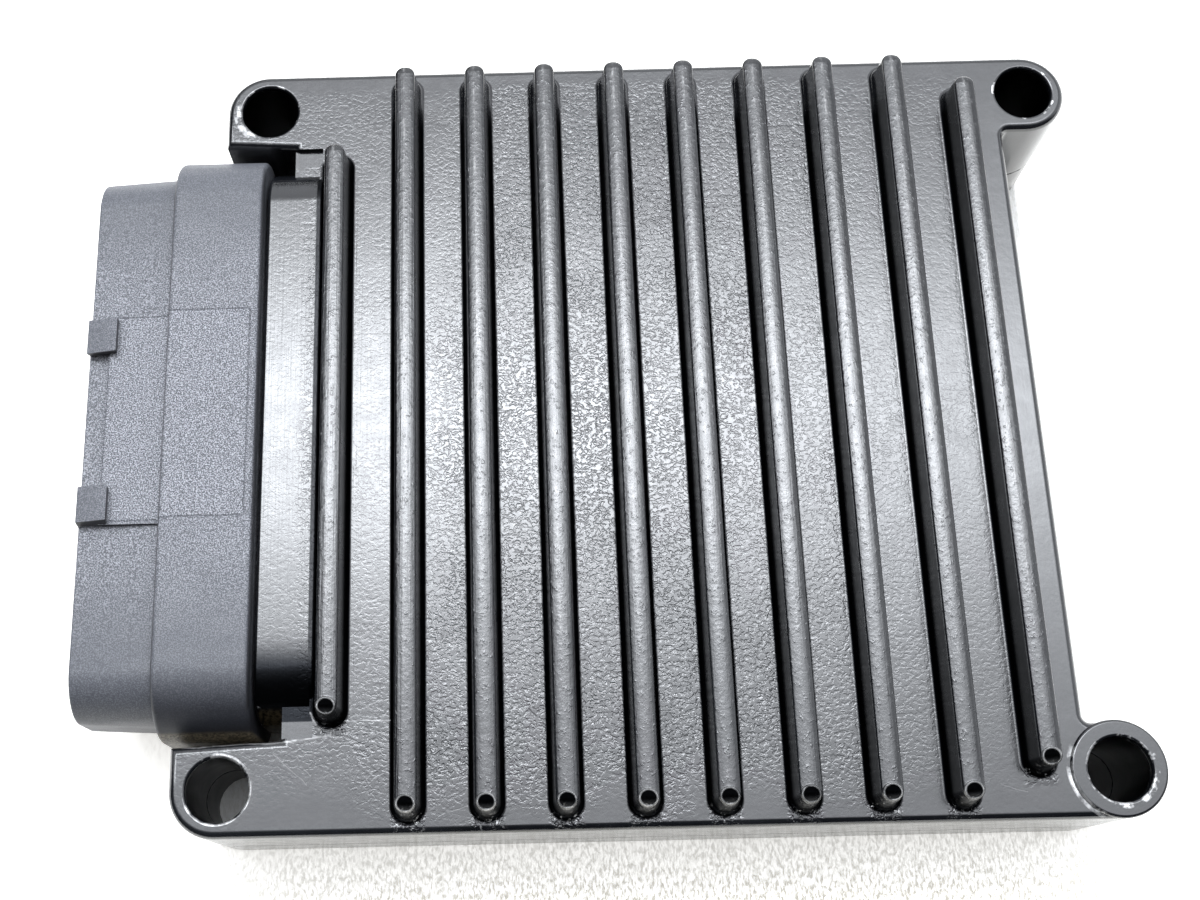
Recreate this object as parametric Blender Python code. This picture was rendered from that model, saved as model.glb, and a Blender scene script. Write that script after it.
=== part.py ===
"""Engine control unit: a finned die-cast housing on a cast base cover, with a moulded 36-way header.

Metres, +Z up. The origin is the centre of the base cover's underside, below the middle of the
fin bank. +X points away from the header, +Y across the unit, along the fins.
"""

import math

import bmesh
import bpy
from mathutils import Matrix, Vector

# Fits
SEAT_GAP = 0.0003          # clearance between pieces that seat on or in each other
OVERCUT = 0.001            # how far a cutter runs past the face that it opens
EMBED = 0.0006             # how far a joined form is sunk into what carries it

# Casting outline, seen from above
BODY_HALF_X = 0.0514       # middle of the fin bank to each side wall
BODY_HALF_Y = 0.0547       # middle to the front and rear walls
EAR_RADIUS = 0.0060        # round the right bores
NOTCH_MARGIN = 0.0001      # between an ear's round and the gap beside it
BORE_RADIUS = 0.00405
BORE_CHAMFER = 0.0004
RIGHT_BORE_X = 0.0551
FRONT_LEFT_BORE_X = -0.0594
REAR_LEFT_BORE_X = -0.0552
LEFT_EAR_MARGIN = 0.0062   # bore centre to the ear's left edge
EAR_TAPER = 0.0006         # how much a left ear narrows towards its tip
NOTCH_FILLET = 0.0010
EAR_PAD_PROUD = 0.0002     # raised seat round the front right bore, out from the ear's side
EAR_PAD_HEIGHT = 0.0004

# Casting heights and walls
BASE_DEPTH = 0.0090        # base cover, table to seam
HOUSING_DEPTH = 0.0145     # upper housing, seam to the deck between the fins
DECK_THICKNESS = 0.0028
FLOOR_THICKNESS = 0.0024
WALL_THICKNESS = 0.0030
DECK_EDGE_RADIUS = 0.0011
BASE_EDGE_RADIUS = 0.0008
CAVITY_CORNER_RADIUS = 0.0040

# Fins
FIN_COUNT = 10
FIN_PITCH = 0.0100
FIN_HEIGHT = 0.0056
FIN_TIP_RADIUS = 0.0014     # half its width below the crown
FIN_CROWN_HEIGHT = 0.0008
FIN_DRAFT = 0.00035
FIN_ROOT_FILLET = 0.0010
FIN_ROOT_SINK = 0.0001      # how far the fillet's foot runs under the deck
FIN_ROOT_TURNS = (8, 35, 62, 90)    # degrees round the fillet, foot to side
FIN_CROWN_TURNS = (0, 24, 47, 70)   # degrees round the crown, side to top
FIN_END_MARGIN = 0.0022    # fin end to the casting's front and rear walls
END_FIN_MARGIN = 0.0061    # the same on the fin beside the right ears
HEADER_FIN_MARGIN = 0.0023 # end of the fin beside the header to the ears of its side

# Header: a rounded rectangle seen along X, whose radius changes from step to step
COLLAR_CLEARANCE = 0.0005  # collar to the ears on each side
HEADER_LIFT = 0.00025      # its middle above the middle between board and deck
TAIL_CLEARANCE = 0.00105   # mean gap of its tail to the board and the deck
SHROUD_MOUTH_X = -0.0791
SHROUD_RADIUS = 0.0070     # at the collar
SHROUD_DRAFT = 0.0006      # how much smaller the radius is at the mouth
SHROUD_WALL = 0.0016       # at the mouth
COLLAR_FRONT_X = -0.0679
COLLAR_BACK_X = -0.0553
COLLAR_RADIUS = 0.0092
COLLAR_EDGE_RADIUS = 0.0007
SOCKET_FLOOR_X = -0.0620
NECK_RADIUS = 0.0034
NECK_RIB_RADIUS = 0.0045
NECK_RIB_THICKNESS = 0.0015
TAIL_RADIUS = 0.0020
TAIL_BACK_X = -0.0440

# Duct: the part of both castings that grips the header's neck
DUCT_FRONT_X = -0.0549
DUCT_BACK_X = -0.0470
DUCT_RADIUS = 0.0072
DUCT_EDGE_RADIUS = 0.0005
DUCT_LIP_X = -0.0526       # front face of the lip that the neck's rib sits behind
DUCT_LIP_THICKNESS = 0.0012
SHELF_DEPTH = 0.0008       # the lowered strip that the duct rises from
SHELF_RIGHT_X = -0.0473
SHELF_MARGIN = 0.0002      # shelf end to the ears

# Latch ramps and pad on top of the shroud
LATCH_LENGTH = 0.0039
LATCH_WIDTH = 0.0050
LATCH_HEIGHT = 0.0021
LATCH_SPACING = 0.0248
LATCH_MIDDLE_Y = 0.0008
LATCH_OVERHANG = 0.0004
LATCH_LEAD_SHARE = 0.45    # how much of its height a ramp has at the mouth
PAD_LENGTH = 0.0082
PAD_WIDTH = 0.0295
PAD_HEIGHT = 0.0005

# Header pins
PIN_ROWS = "abc"
PIN_COLUMNS = 12
PIN_WIDTH = 0.0008
PIN_TIP_WIDTH = 0.00027
PIN_END_MARGIN = 0.0054    # outer column to the middle of the header's round end
PIN_ROW_MARGIN = 0.0016    # outer row to the tail's flat side
PIN_TIP_X = -0.0740
PIN_TAPER = 0.0008
PIN_BEND_X = -0.0428       # lowest row
PIN_BEND_STEP = 0.0022
PIN_TAIL = 0.0012          # how far a pin stands out under the board

# Circuit board and its posts
BOARD_LEFT_MARGIN = 0.0029  # to the cavity's walls
BOARD_RIGHT_MARGIN = 0.0019
BOARD_END_MARGIN = 0.0065
POST_INSET = 0.0050        # in from the board's edges
BOARD_THICKNESS = 0.0016
BOARD_CORNER_RADIUS = 0.0020
POST_RADIUS = 0.0030
BOARD_SCREW_RADIUS = 0.00125
BOARD_SCREW_LENGTH = 0.0070
BOARD_SCREW_HEAD_RADIUS = 0.0024
BOARD_SCREW_HEAD_HEIGHT = 0.0017

# Cover screws and their bosses
COVER_SCREW_ROW = 3        # on each side
COVER_SCREW_INSET = 0.0053 # in from the front and rear walls
COVER_SCREW_LEFT = 0.0134  # in from the side walls
COVER_SCREW_RIGHT = 0.0074
COVER_BOSS_RADIUS = 0.0036
COVER_SCREW_RADIUS = 0.0015
COVER_SCREW_LENGTH = 0.0125
COVER_SCREW_HEAD_RADIUS = 0.0027
COVER_SCREW_HEAD_HEIGHT = 0.0019
COUNTERBORE_DEPTH = 0.0024
SCREW_SOCKET_RADIUS = 0.0012
SCREW_SOCKET_DEPTH = 0.0010
SCREW_CROWN_SHARE = 0.35    # of the head's height that its rounding takes
SCREW_CROWN_CUT = 0.3       # how far the rounding stands in from its corner
SCREW_POINT_SHARE = 0.5     # shank radius left at the tip

# Seals
GROOVE_WIDTH = 0.0015
GROOVE_DEPTH = 0.0012
SEAL_WIDTH = 0.0009
HEADER_SEAL_LENGTH = 0.0018

# Electronics
DRIVER_SIZE = (0.0150, 0.0110, 0.0022)
DRIVER_X = 0.0260
DRIVER_INSET = 0.0212      # middle of an outer driver to the board's end
THERMAL_PAD_THICKNESS = 0.0006
PEDESTAL_MARGIN = 0.0015
PROCESSOR_SIZE = (0.0200, 0.0200, 0.0016)
PROCESSOR_PLACE = (-0.0040, 0.0040)
PROCESSOR_LEGS = 8
REGULATOR_SIZE = (0.0095, 0.0085, 0.0024)
REGULATOR_X = -0.0120
REGULATOR_INSET = 0.0162
LEG_LENGTH = 0.0012
LEG_WIDTH = 0.0006
CHIP_EDGE_SHARE = 0.15      # chamfer of a package, of its smallest side
DRIVER_LEGS = 5
REGULATOR_LEGS = 3
CAPACITOR_RADIUS = 0.0050
CAPACITOR_HEADROOM = 0.0019
CAPACITOR_X = 0.0060
CAPACITOR_INSET = 0.0152
CAPACITOR_BEAD = 0.0006
CRYSTAL_SIZE = (0.0110, 0.0046, 0.0035)
CRYSTAL_EDGE = 0.00045
CRYSTAL_SEGMENTS = 16
CRYSTAL_GAP = 0.0065       # to the processor's legs

# Facets
CORNER_STEPS = 6           # chords in a quarter circle of an outline
ROUND_SEGMENTS = 24
HIDDEN_SEGMENTS = 12       # posts, bosses and screws inside or below
FIN_SEGMENTS = 12
EDGE_SEGMENTS = 3

# Derived plan sizes
BORE_Y = BODY_HALF_Y - EAR_RADIUS
NOTCH_HALF_Y = BORE_Y - EAR_RADIUS - NOTCH_MARGIN
CAVITY_HALF_X = BODY_HALF_X - WALL_THICKNESS
CAVITY_HALF_Y = BODY_HALF_Y - WALL_THICKNESS
SEAL_HALF_X = BODY_HALF_X - WALL_THICKNESS / 2
SEAL_HALF_Y = BODY_HALF_Y - WALL_THICKNESS / 2
FIN_HALF_LENGTH = BODY_HALF_Y - FIN_END_MARGIN
END_FIN_HALF_LENGTH = BODY_HALF_Y - END_FIN_MARGIN
HEADER_FIN_HALF_LENGTH = NOTCH_HALF_Y - HEADER_FIN_MARGIN
SHELF_HALF_Y = NOTCH_HALF_Y - SHELF_MARGIN
BOARD_LEFT_X = -CAVITY_HALF_X + BOARD_LEFT_MARGIN
BOARD_RIGHT_X = CAVITY_HALF_X - BOARD_RIGHT_MARGIN
BOARD_HALF_Y = CAVITY_HALF_Y - BOARD_END_MARGIN
POST_X = (BOARD_LEFT_X + POST_INSET, BOARD_RIGHT_X - POST_INSET)
POST_Y = BOARD_HALF_Y - POST_INSET
COVER_SCREW_Y = BODY_HALF_Y - COVER_SCREW_INSET
DRIVER_Y = (DRIVER_INSET - BOARD_HALF_Y, 0.0, BOARD_HALF_Y - DRIVER_INSET)
REGULATOR_PLACE = (REGULATOR_X, REGULATOR_INSET - BOARD_HALF_Y)
CAPACITOR_PLACE = (CAPACITOR_X, CAPACITOR_INSET - BOARD_HALF_Y)
CRYSTAL_PLACE = (
    PROCESSOR_PLACE[0],
    PROCESSOR_PLACE[1] + (PROCESSOR_SIZE[1] + CRYSTAL_SIZE[1]) / 2 + LEG_LENGTH + CRYSTAL_GAP,
)

# Derived heights
SEAM_Z = BASE_DEPTH
HOUSING_BOTTOM_Z = SEAM_Z + SEAT_GAP
DECK_Z = BASE_DEPTH + HOUSING_DEPTH
CEILING_Z = DECK_Z - DECK_THICKNESS
SHELF_Z = DECK_Z - SHELF_DEPTH
BOARD_TOP_Z = HOUSING_BOTTOM_Z - SEAT_GAP
BOARD_BOTTOM_Z = BOARD_TOP_Z - BOARD_THICKNESS
CHIP_Z = BOARD_TOP_Z + SEAT_GAP
CAPACITOR_HEIGHT = CEILING_Z - CHIP_Z - CAPACITOR_HEADROOM

# Derived header sizes
HEADER_Z = (BOARD_TOP_Z + CEILING_Z) / 2 + HEADER_LIFT
HEADER_RUN_Z = (CEILING_Z - BOARD_TOP_Z) / 2 - TAIL_CLEARANCE - TAIL_RADIUS
HEADER_RUN_Y = NOTCH_HALF_Y - COLLAR_CLEARANCE - COLLAR_RADIUS
PIN_PITCH = 2 * (HEADER_RUN_Y - PIN_END_MARGIN) / (PIN_COLUMNS - 1)
PIN_ROW_PITCH = 2 * (HEADER_RUN_Z + TAIL_RADIUS - PIN_ROW_MARGIN) / (len(PIN_ROWS) - 1)
BORE_CENTRES = (
    (RIGHT_BORE_X, -BORE_Y),
    (RIGHT_BORE_X, BORE_Y),
    (REAR_LEFT_BORE_X, BORE_Y),
    (FRONT_LEFT_BORE_X, -BORE_Y),
)

# Derived stations of the duct and the neck, along X
DUCT_LIP_BACK_X = DUCT_LIP_X + DUCT_LIP_THICKNESS
RIB_FRONT_X = DUCT_LIP_BACK_X + SEAT_GAP
RIB_BACK_X = RIB_FRONT_X + NECK_RIB_THICKNESS
DUCT_POCKET_BACK_X = RIB_BACK_X + SEAT_GAP
DUCT_BORE_RADIUS = NECK_RIB_RADIUS + SEAT_GAP
DUCT_LIP_RADIUS = NECK_RADIUS + SEAT_GAP
DUCT_TAIL_RADIUS = TAIL_RADIUS + SEAT_GAP

ALONG_X = Matrix(((0, 0, 1, 0), (1, 0, 0, 0), (0, 1, 0, 0), (0, 0, 0, 1)))


def clear_scene():
    for old in list(bpy.data.objects):
        bpy.data.objects.remove(old, do_unlink=True)


def new_collection(name):
    collection = bpy.data.collections.new(name)
    bpy.context.scene.collection.children.link(collection)
    return collection


def new_material(name, colour, roughness, metallic):
    material = bpy.data.materials.new(name)
    material.use_nodes = True
    shader = material.node_tree.nodes["Principled BSDF"]
    shader.inputs["Base Color"].default_value = (*colour, 1.0)
    shader.inputs["Roughness"].default_value = roughness
    shader.inputs["Metallic"].default_value = metallic
    material.diffuse_color = (*colour, 1.0)
    return material


def new_object(name, mesh, collection, material=None):
    placed = bpy.data.objects.new(name, mesh)
    if material:
        mesh.materials.clear()
        mesh.materials.append(material)
        mesh.shade_smooth()
        mesh.set_sharp_from_angle(angle=math.radians(35))
    collection.objects.link(placed)
    return placed


def new_cutter(name, mesh, collection):
    cutter = new_object(name, mesh, collection)
    cutter.hide_render = True
    cutter.display_type = "WIRE"
    return cutter


def mesh_from(bm, name):
    """Closes the bmesh into a mesh whose faces point out."""
    bmesh.ops.recalc_face_normals(bm, faces=bm.faces)
    mesh = bpy.data.meshes.new(name)
    bm.to_mesh(mesh)
    bm.free()
    return mesh


def combine(target, tool, operation):
    modifier = target.modifiers.new(tool.name, "BOOLEAN")
    modifier.operation = operation
    modifier.solver = "EXACT"
    modifier.object = tool


def finished_mesh(shape, name):
    """The mesh of an object with its modifiers applied."""
    graph = bpy.context.evaluated_depsgraph_get()
    mesh = bpy.data.meshes.new_from_object(shape.evaluated_get(graph))
    mesh.name = name
    return mesh


def gathered(meshes, name):
    """One mesh that holds several separate closed shapes."""
    bm = bmesh.new()
    for mesh in meshes:
        bm.from_mesh(mesh)
    joined = bpy.data.meshes.new(name)
    bm.to_mesh(joined)
    bm.free()
    return joined


def arc(centre, radius, start, end, steps=CORNER_STEPS):
    """Points of an arc in degrees, both ends included; clockwise where end is less than start."""
    points = []
    for step in range(steps + 1):
        angle = math.radians(start + (end - start) * step / steps)
        points.append((centre[0] + radius * math.cos(angle), centre[1] + radius * math.sin(angle)))
    return points


def circle(centre, radius, steps=ROUND_SEGMENTS):
    return arc(centre, radius, 0, 360, steps)[:-1]


def rounded_rectangle(low, high, radius):
    left, front = low[0] + radius, low[1] + radius
    right, rear = high[0] - radius, high[1] - radius
    return (
        arc((left, front), radius, 180, 270)
        + arc((right, front), radius, 270, 360)
        + arc((right, rear), radius, 0, 90)
        + arc((left, rear), radius, 90, 180)
    )


def flat_mesh(name, outlines, low, high):
    """An upright solid between two heights; outlines after the first are holes through it."""
    curve = bpy.data.curves.new(name, "CURVE")
    curve.dimensions = "2D"
    curve.fill_mode = "BOTH"
    curve.extrude = (high - low) / 2
    for outline in outlines:
        spline = curve.splines.new("POLY")
        spline.points.add(len(outline) - 1)
        for point, (x, y) in zip(spline.points, outline):
            point.co = (x, y, 0, 1)
        spline.use_cyclic_u = True
    drawn = bpy.data.objects.new(name, curve)
    bpy.context.scene.collection.objects.link(drawn)
    mesh = finished_mesh(drawn, name)
    bpy.data.objects.remove(drawn)
    bpy.data.curves.remove(curve)
    bm = bmesh.new()
    bm.from_mesh(mesh)
    bpy.data.meshes.remove(mesh)
    bmesh.ops.remove_doubles(bm, verts=bm.verts, dist=1e-6)
    bmesh.ops.dissolve_limit(bm, angle_limit=math.radians(0.5), verts=bm.verts, edges=bm.edges)
    bmesh.ops.translate(bm, vec=(0, 0, (low + high) / 2), verts=bm.verts)
    return mesh_from(bm, name)


def rounded_rim(mesh, height, radius):
    """Rounds the outer edge of a flat solid at one of its two faces."""
    bm = bmesh.new()
    bm.from_mesh(mesh)
    rim = [
        edge
        for edge in bm.edges
        if all(abs(vert.co.z - height) < 1e-6 for vert in edge.verts)
        and edge.calc_face_angle(0) > math.radians(60)
    ]
    bmesh.ops.bevel(
        bm,
        geom=rim,
        offset=radius,
        segments=EDGE_SEGMENTS,
        profile=0.5,
        affect="EDGES",
        material=-1,
        clamp_overlap=True,
    )
    bm.to_mesh(mesh)
    bm.free()
    return mesh


def drawn_turning(name, profile, run=(0, 0), segments=ROUND_SEGMENTS, place=Matrix()):
    """A turned shape quartered along its axis and drawn apart, which gives a rounded block.

    The profile is a list of (radius, height). The run is how far each quarter moves along the
    two directions across the axis. The two ends are closed flat.
    """
    bm = bmesh.new()
    start = math.pi / segments
    ring = [bm.verts.new((r * math.cos(start), r * math.sin(start), h)) for r, h in profile]
    chain = [bm.edges.new(pair) for pair in zip(ring, ring[1:])]
    bmesh.ops.spin(
        bm,
        geom=ring + chain,
        cent=(0, 0, 0),
        axis=(0, 0, 1),
        angle=math.tau,
        steps=segments,
        use_merge=True,
    )
    for vert in bm.verts:
        vert.co.x += math.copysign(run[0], vert.co.x)
        vert.co.y += math.copysign(run[1], vert.co.y)
    bmesh.ops.remove_doubles(bm, verts=bm.verts, dist=1e-7)
    bmesh.ops.holes_fill(bm, edges=bm.edges, sides=0)
    bmesh.ops.transform(bm, matrix=place, verts=bm.verts)
    return mesh_from(bm, name)


def block_mesh(name, low, high):
    bm = bmesh.new()
    size = Vector(high) - Vector(low)
    middle = (Vector(high) + Vector(low)) / 2
    place = Matrix.Translation(middle) @ Matrix.Diagonal((*size, 1))
    bmesh.ops.create_cube(bm, size=1, matrix=place)
    return mesh_from(bm, name)


def header_mesh(name, profile):
    """A rounded block along X on the header's own corners; the profile is (radius, x)."""
    place = Matrix.Translation((0, 0, HEADER_Z)) @ ALONG_X
    return drawn_turning(name, profile, (HEADER_RUN_Y, HEADER_RUN_Z), ROUND_SEGMENTS, place)


def edge_steps(radius):
    """Offsets of a quarter round, from the side face in to the end face."""
    steps = []
    for step in range(EDGE_SEGMENTS + 1):
        angle = math.radians(90) * step / EDGE_SEGMENTS
        steps.append((radius * (1 - math.cos(angle)), radius * (1 - math.sin(angle))))
    return steps


def body_outline():
    """The outline of both castings: a rectangle with two round ears right and two longer ones left."""
    front_ear = (FRONT_LEFT_BORE_X - LEFT_EAR_MARGIN + EAR_RADIUS, -BORE_Y)
    rear_ear = (REAR_LEFT_BORE_X - LEFT_EAR_MARGIN + EAR_RADIUS, BORE_Y)
    notch_x = BODY_HALF_X + NOTCH_FILLET
    notch_y = NOTCH_HALF_Y - NOTCH_FILLET
    front_tip_y = -NOTCH_HALF_Y - EAR_TAPER
    rear_tip_y = NOTCH_HALF_Y + EAR_TAPER
    outline = arc(front_ear, EAR_RADIUS, 180, 270)
    outline += arc((RIGHT_BORE_X, -BORE_Y), EAR_RADIUS, 270, 450, 2 * CORNER_STEPS)
    outline += arc((notch_x, -notch_y), NOTCH_FILLET, 270, 180, 3)
    outline += arc((notch_x, notch_y), NOTCH_FILLET, 180, 90, 3)
    outline += arc((RIGHT_BORE_X, BORE_Y), EAR_RADIUS, 270, 450, 2 * CORNER_STEPS)
    outline += arc(rear_ear, EAR_RADIUS, 90, 180)
    outline += [(rear_ear[0] - EAR_RADIUS, rear_tip_y)]
    outline += [(-BODY_HALF_X, NOTCH_HALF_Y)]
    outline += [(-BODY_HALF_X, -NOTCH_HALF_Y)]
    outline += [(front_ear[0] - EAR_RADIUS, front_tip_y)]
    return outline


def fin_mesh(index):
    half_length = FIN_HALF_LENGTH
    if index == 0:
        half_length = HEADER_FIN_HALF_LENGTH
    if index == FIN_COUNT - 1:
        half_length = END_FIN_HALF_LENGTH
    foot = FIN_TIP_RADIUS + FIN_DRAFT
    profile = [(foot + FIN_ROOT_FILLET, -EMBED - SHELF_DEPTH)]
    for angle in FIN_ROOT_TURNS:
        turn = math.radians(angle)
        reach = FIN_ROOT_FILLET * (1 - math.sin(turn))
        rise = FIN_ROOT_FILLET * (1 - math.cos(turn)) - FIN_ROOT_SINK
        profile.append((foot + reach, rise))
    top_turn = math.radians(FIN_CROWN_TURNS[-1])
    for angle in FIN_CROWN_TURNS:
        turn = math.radians(angle)
        crown = FIN_HEIGHT - FIN_CROWN_HEIGHT * (1 - math.sin(turn) / math.sin(top_turn))
        profile.append((FIN_TIP_RADIUS * math.cos(turn), crown))
    x = (index - (FIN_COUNT - 1) / 2) * FIN_PITCH
    place = Matrix.Translation((x, 0, DECK_Z))
    return drawn_turning(f"fin_{index + 1}", profile, (0, half_length - FIN_TIP_RADIUS), FIN_SEGMENTS, place)


def duct_mesh(name, low, high):
    """The stretch of the duct's outside that lies between two heights."""
    rounding = edge_steps(DUCT_EDGE_RADIUS)
    front = [(DUCT_RADIUS - side, DUCT_FRONT_X + depth) for side, depth in reversed(rounding)]
    back = [(DUCT_RADIUS - side, DUCT_BACK_X - depth) for side, depth in rounding]
    mesh = header_mesh(name, front + back)
    bm = bmesh.new()
    bm.from_mesh(mesh)
    for height, normal in ((low, -1), (high, 1)):
        everything = list(bm.verts) + list(bm.edges) + list(bm.faces)
        bmesh.ops.bisect_plane(
            bm,
            geom=everything,
            plane_co=(0, 0, height),
            plane_no=(0, 0, normal),
            clear_outer=True,
        )
        bmesh.ops.holes_fill(bm, edges=bm.edges, sides=0)
    return mesh_from(bm, name)


def duct_bore_mesh():
    """What the neck, its rib, its seal and its tail need, through the wall of both castings."""
    profile = [
        (DUCT_BORE_RADIUS, DUCT_FRONT_X - OVERCUT),
        (DUCT_BORE_RADIUS, DUCT_LIP_X),
        (DUCT_LIP_RADIUS, DUCT_LIP_X),
        (DUCT_LIP_RADIUS, DUCT_LIP_BACK_X),
        (DUCT_BORE_RADIUS, DUCT_LIP_BACK_X),
        (DUCT_BORE_RADIUS, DUCT_POCKET_BACK_X),
        (DUCT_TAIL_RADIUS, DUCT_POCKET_BACK_X),
        (DUCT_TAIL_RADIUS, -CAVITY_HALF_X + OVERCUT),
    ]
    return header_mesh("duct_bore", profile)


def cavity_mesh(low, high):
    corner = (CAVITY_HALF_X, CAVITY_HALF_Y)
    outline = rounded_rectangle((-corner[0], -corner[1]), corner, CAVITY_CORNER_RADIUS)
    return flat_mesh("cavity", [outline], low, high)


def round_bar(name, centre, radius, low, high, steps=HIDDEN_SEGMENTS):
    return flat_mesh(name, [circle(centre, radius, steps)], low, high)


def cover_screw_places():
    left = -BODY_HALF_X + COVER_SCREW_LEFT
    step = (BODY_HALF_X - COVER_SCREW_RIGHT - left) / (COVER_SCREW_ROW - 1)
    row = [left + index * step for index in range(COVER_SCREW_ROW)]
    return [(x, side * COVER_SCREW_Y) for side in (-1, 1) for x in row]


def post_places():
    return [(x, side * POST_Y) for side in (-1, 1) for x in POST_X]


def bore_mesh(index):
    """One mounting bore through the upper housing, chamfered at its mouth."""
    centre = BORE_CENTRES[index]
    mouth = DECK_Z + (EAR_PAD_HEIGHT if index == 0 else 0)
    wide = BORE_RADIUS + BORE_CHAMFER
    profile = [
        (BORE_RADIUS, HOUSING_BOTTOM_Z - OVERCUT),
        (BORE_RADIUS, mouth - BORE_CHAMFER),
        (wide, mouth),
        (wide, mouth + OVERCUT),
    ]
    place = Matrix.Translation((*centre, 0))
    return drawn_turning(f"bore_{index + 1}", profile, place=place)


def pedestal_mesh():
    """The bar under the deck that takes the heat of the three power devices."""
    half_x = DRIVER_SIZE[0] / 2 + PEDESTAL_MARGIN
    half_y = max(DRIVER_Y) + DRIVER_SIZE[1] / 2 + PEDESTAL_MARGIN
    foot = CHIP_Z + DRIVER_SIZE[2] + THERMAL_PAD_THICKNESS + 2 * SEAT_GAP
    outline = rounded_rectangle((DRIVER_X - half_x, -half_y), (DRIVER_X + half_x, half_y), PEDESTAL_MARGIN)
    return flat_mesh("pedestal", [outline], foot, CEILING_Z + EMBED)


def build_upper_housing(parts, cutters, paint):
    shell = flat_mesh("upper_housing", [body_outline()], HOUSING_BOTTOM_Z, DECK_Z)
    rounded_rim(shell, DECK_Z, DECK_EDGE_RADIUS)
    housing = new_object("upper_housing", shell, parts, paint)
    shelf = block_mesh(
        "shelf",
        (FRONT_LEFT_BORE_X, -SHELF_HALF_Y, SHELF_Z),
        (SHELF_RIGHT_X, SHELF_HALF_Y, DECK_Z + OVERCUT),
    )
    combine(housing, new_cutter("shelf", shelf, cutters), "DIFFERENCE")
    fins = gathered([fin_mesh(index) for index in range(FIN_COUNT)], "fins")
    combine(housing, new_cutter("fins", fins, cutters), "UNION")
    pad_low = DECK_Z - DECK_EDGE_RADIUS - EMBED
    pad_top = DECK_Z + EAR_PAD_HEIGHT
    pad = round_bar("ear_pad", BORE_CENTRES[0], EAR_RADIUS + EAR_PAD_PROUD, pad_low, pad_top, ROUND_SEGMENTS)
    rounded_rim(pad, pad_top, EAR_PAD_HEIGHT)
    combine(housing, new_cutter("ear_pad", pad, cutters), "UNION")
    duct = duct_mesh("upper_duct", HOUSING_BOTTOM_Z, DECK_Z + FIN_HEIGHT)
    combine(housing, new_cutter("upper_duct", duct, cutters), "UNION")
    cavity = cavity_mesh(HOUSING_BOTTOM_Z - OVERCUT, CEILING_Z)
    combine(housing, new_cutter("housing_cavity", cavity, cutters), "DIFFERENCE")
    low = HOUSING_BOTTOM_Z
    high = CEILING_Z + EMBED
    posts = [round_bar("post", place, POST_RADIUS, low, high) for place in post_places()]
    posts += [round_bar("boss", place, COVER_BOSS_RADIUS, low, high) for place in cover_screw_places()]
    posts.append(pedestal_mesh())
    combine(housing, new_cutter("housing_posts", gathered(posts, "housing_posts"), cutters), "UNION")
    combine(housing, new_cutter("housing_duct_bore", duct_bore_mesh(), cutters), "DIFFERENCE")
    holes = [bore_mesh(index) for index in range(len(BORE_CENTRES))]
    low = HOUSING_BOTTOM_Z - OVERCUT
    high = board_screw_tip_z() + 2 * SEAT_GAP
    holes += [round_bar("hole", place, BOARD_SCREW_RADIUS + SEAT_GAP, low, high) for place in post_places()]
    high = cover_screw_tip_z() + 2 * SEAT_GAP
    radius = COVER_SCREW_RADIUS + SEAT_GAP
    holes += [round_bar("hole", place, radius, low, high) for place in cover_screw_places()]
    combine(housing, new_cutter("housing_holes", gathered(holes, "housing_holes"), cutters), "DIFFERENCE")


def board_screw_tip_z():
    return BOARD_BOTTOM_Z - SEAT_GAP + BOARD_SCREW_LENGTH


def cover_screw_seat_z():
    return COUNTERBORE_DEPTH


def cover_screw_tip_z():
    return cover_screw_seat_z() - SEAT_GAP + COVER_SCREW_LENGTH


def seal_path_mesh(name, width, low, high, clearance):
    """A ring along the middle of the wall, open on the left where the duct crosses it."""
    outlines = []
    for offset in (width / 2, -width / 2):
        corner = (SEAL_HALF_X + offset, SEAL_HALF_Y + offset)
        radius = CAVITY_CORNER_RADIUS + WALL_THICKNESS / 2 + offset
        outlines.append(rounded_rectangle((-corner[0], -corner[1]), corner, radius))
    ring = flat_mesh(name, outlines, low, high)
    reach = HEADER_RUN_Y + DUCT_BORE_RADIUS + clearance
    opening = block_mesh(
        name + "_opening",
        (-BODY_HALF_X - OVERCUT, -reach, low - OVERCUT),
        (-CAVITY_HALF_X + OVERCUT, reach, high + OVERCUT),
    )
    return ring, opening


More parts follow.
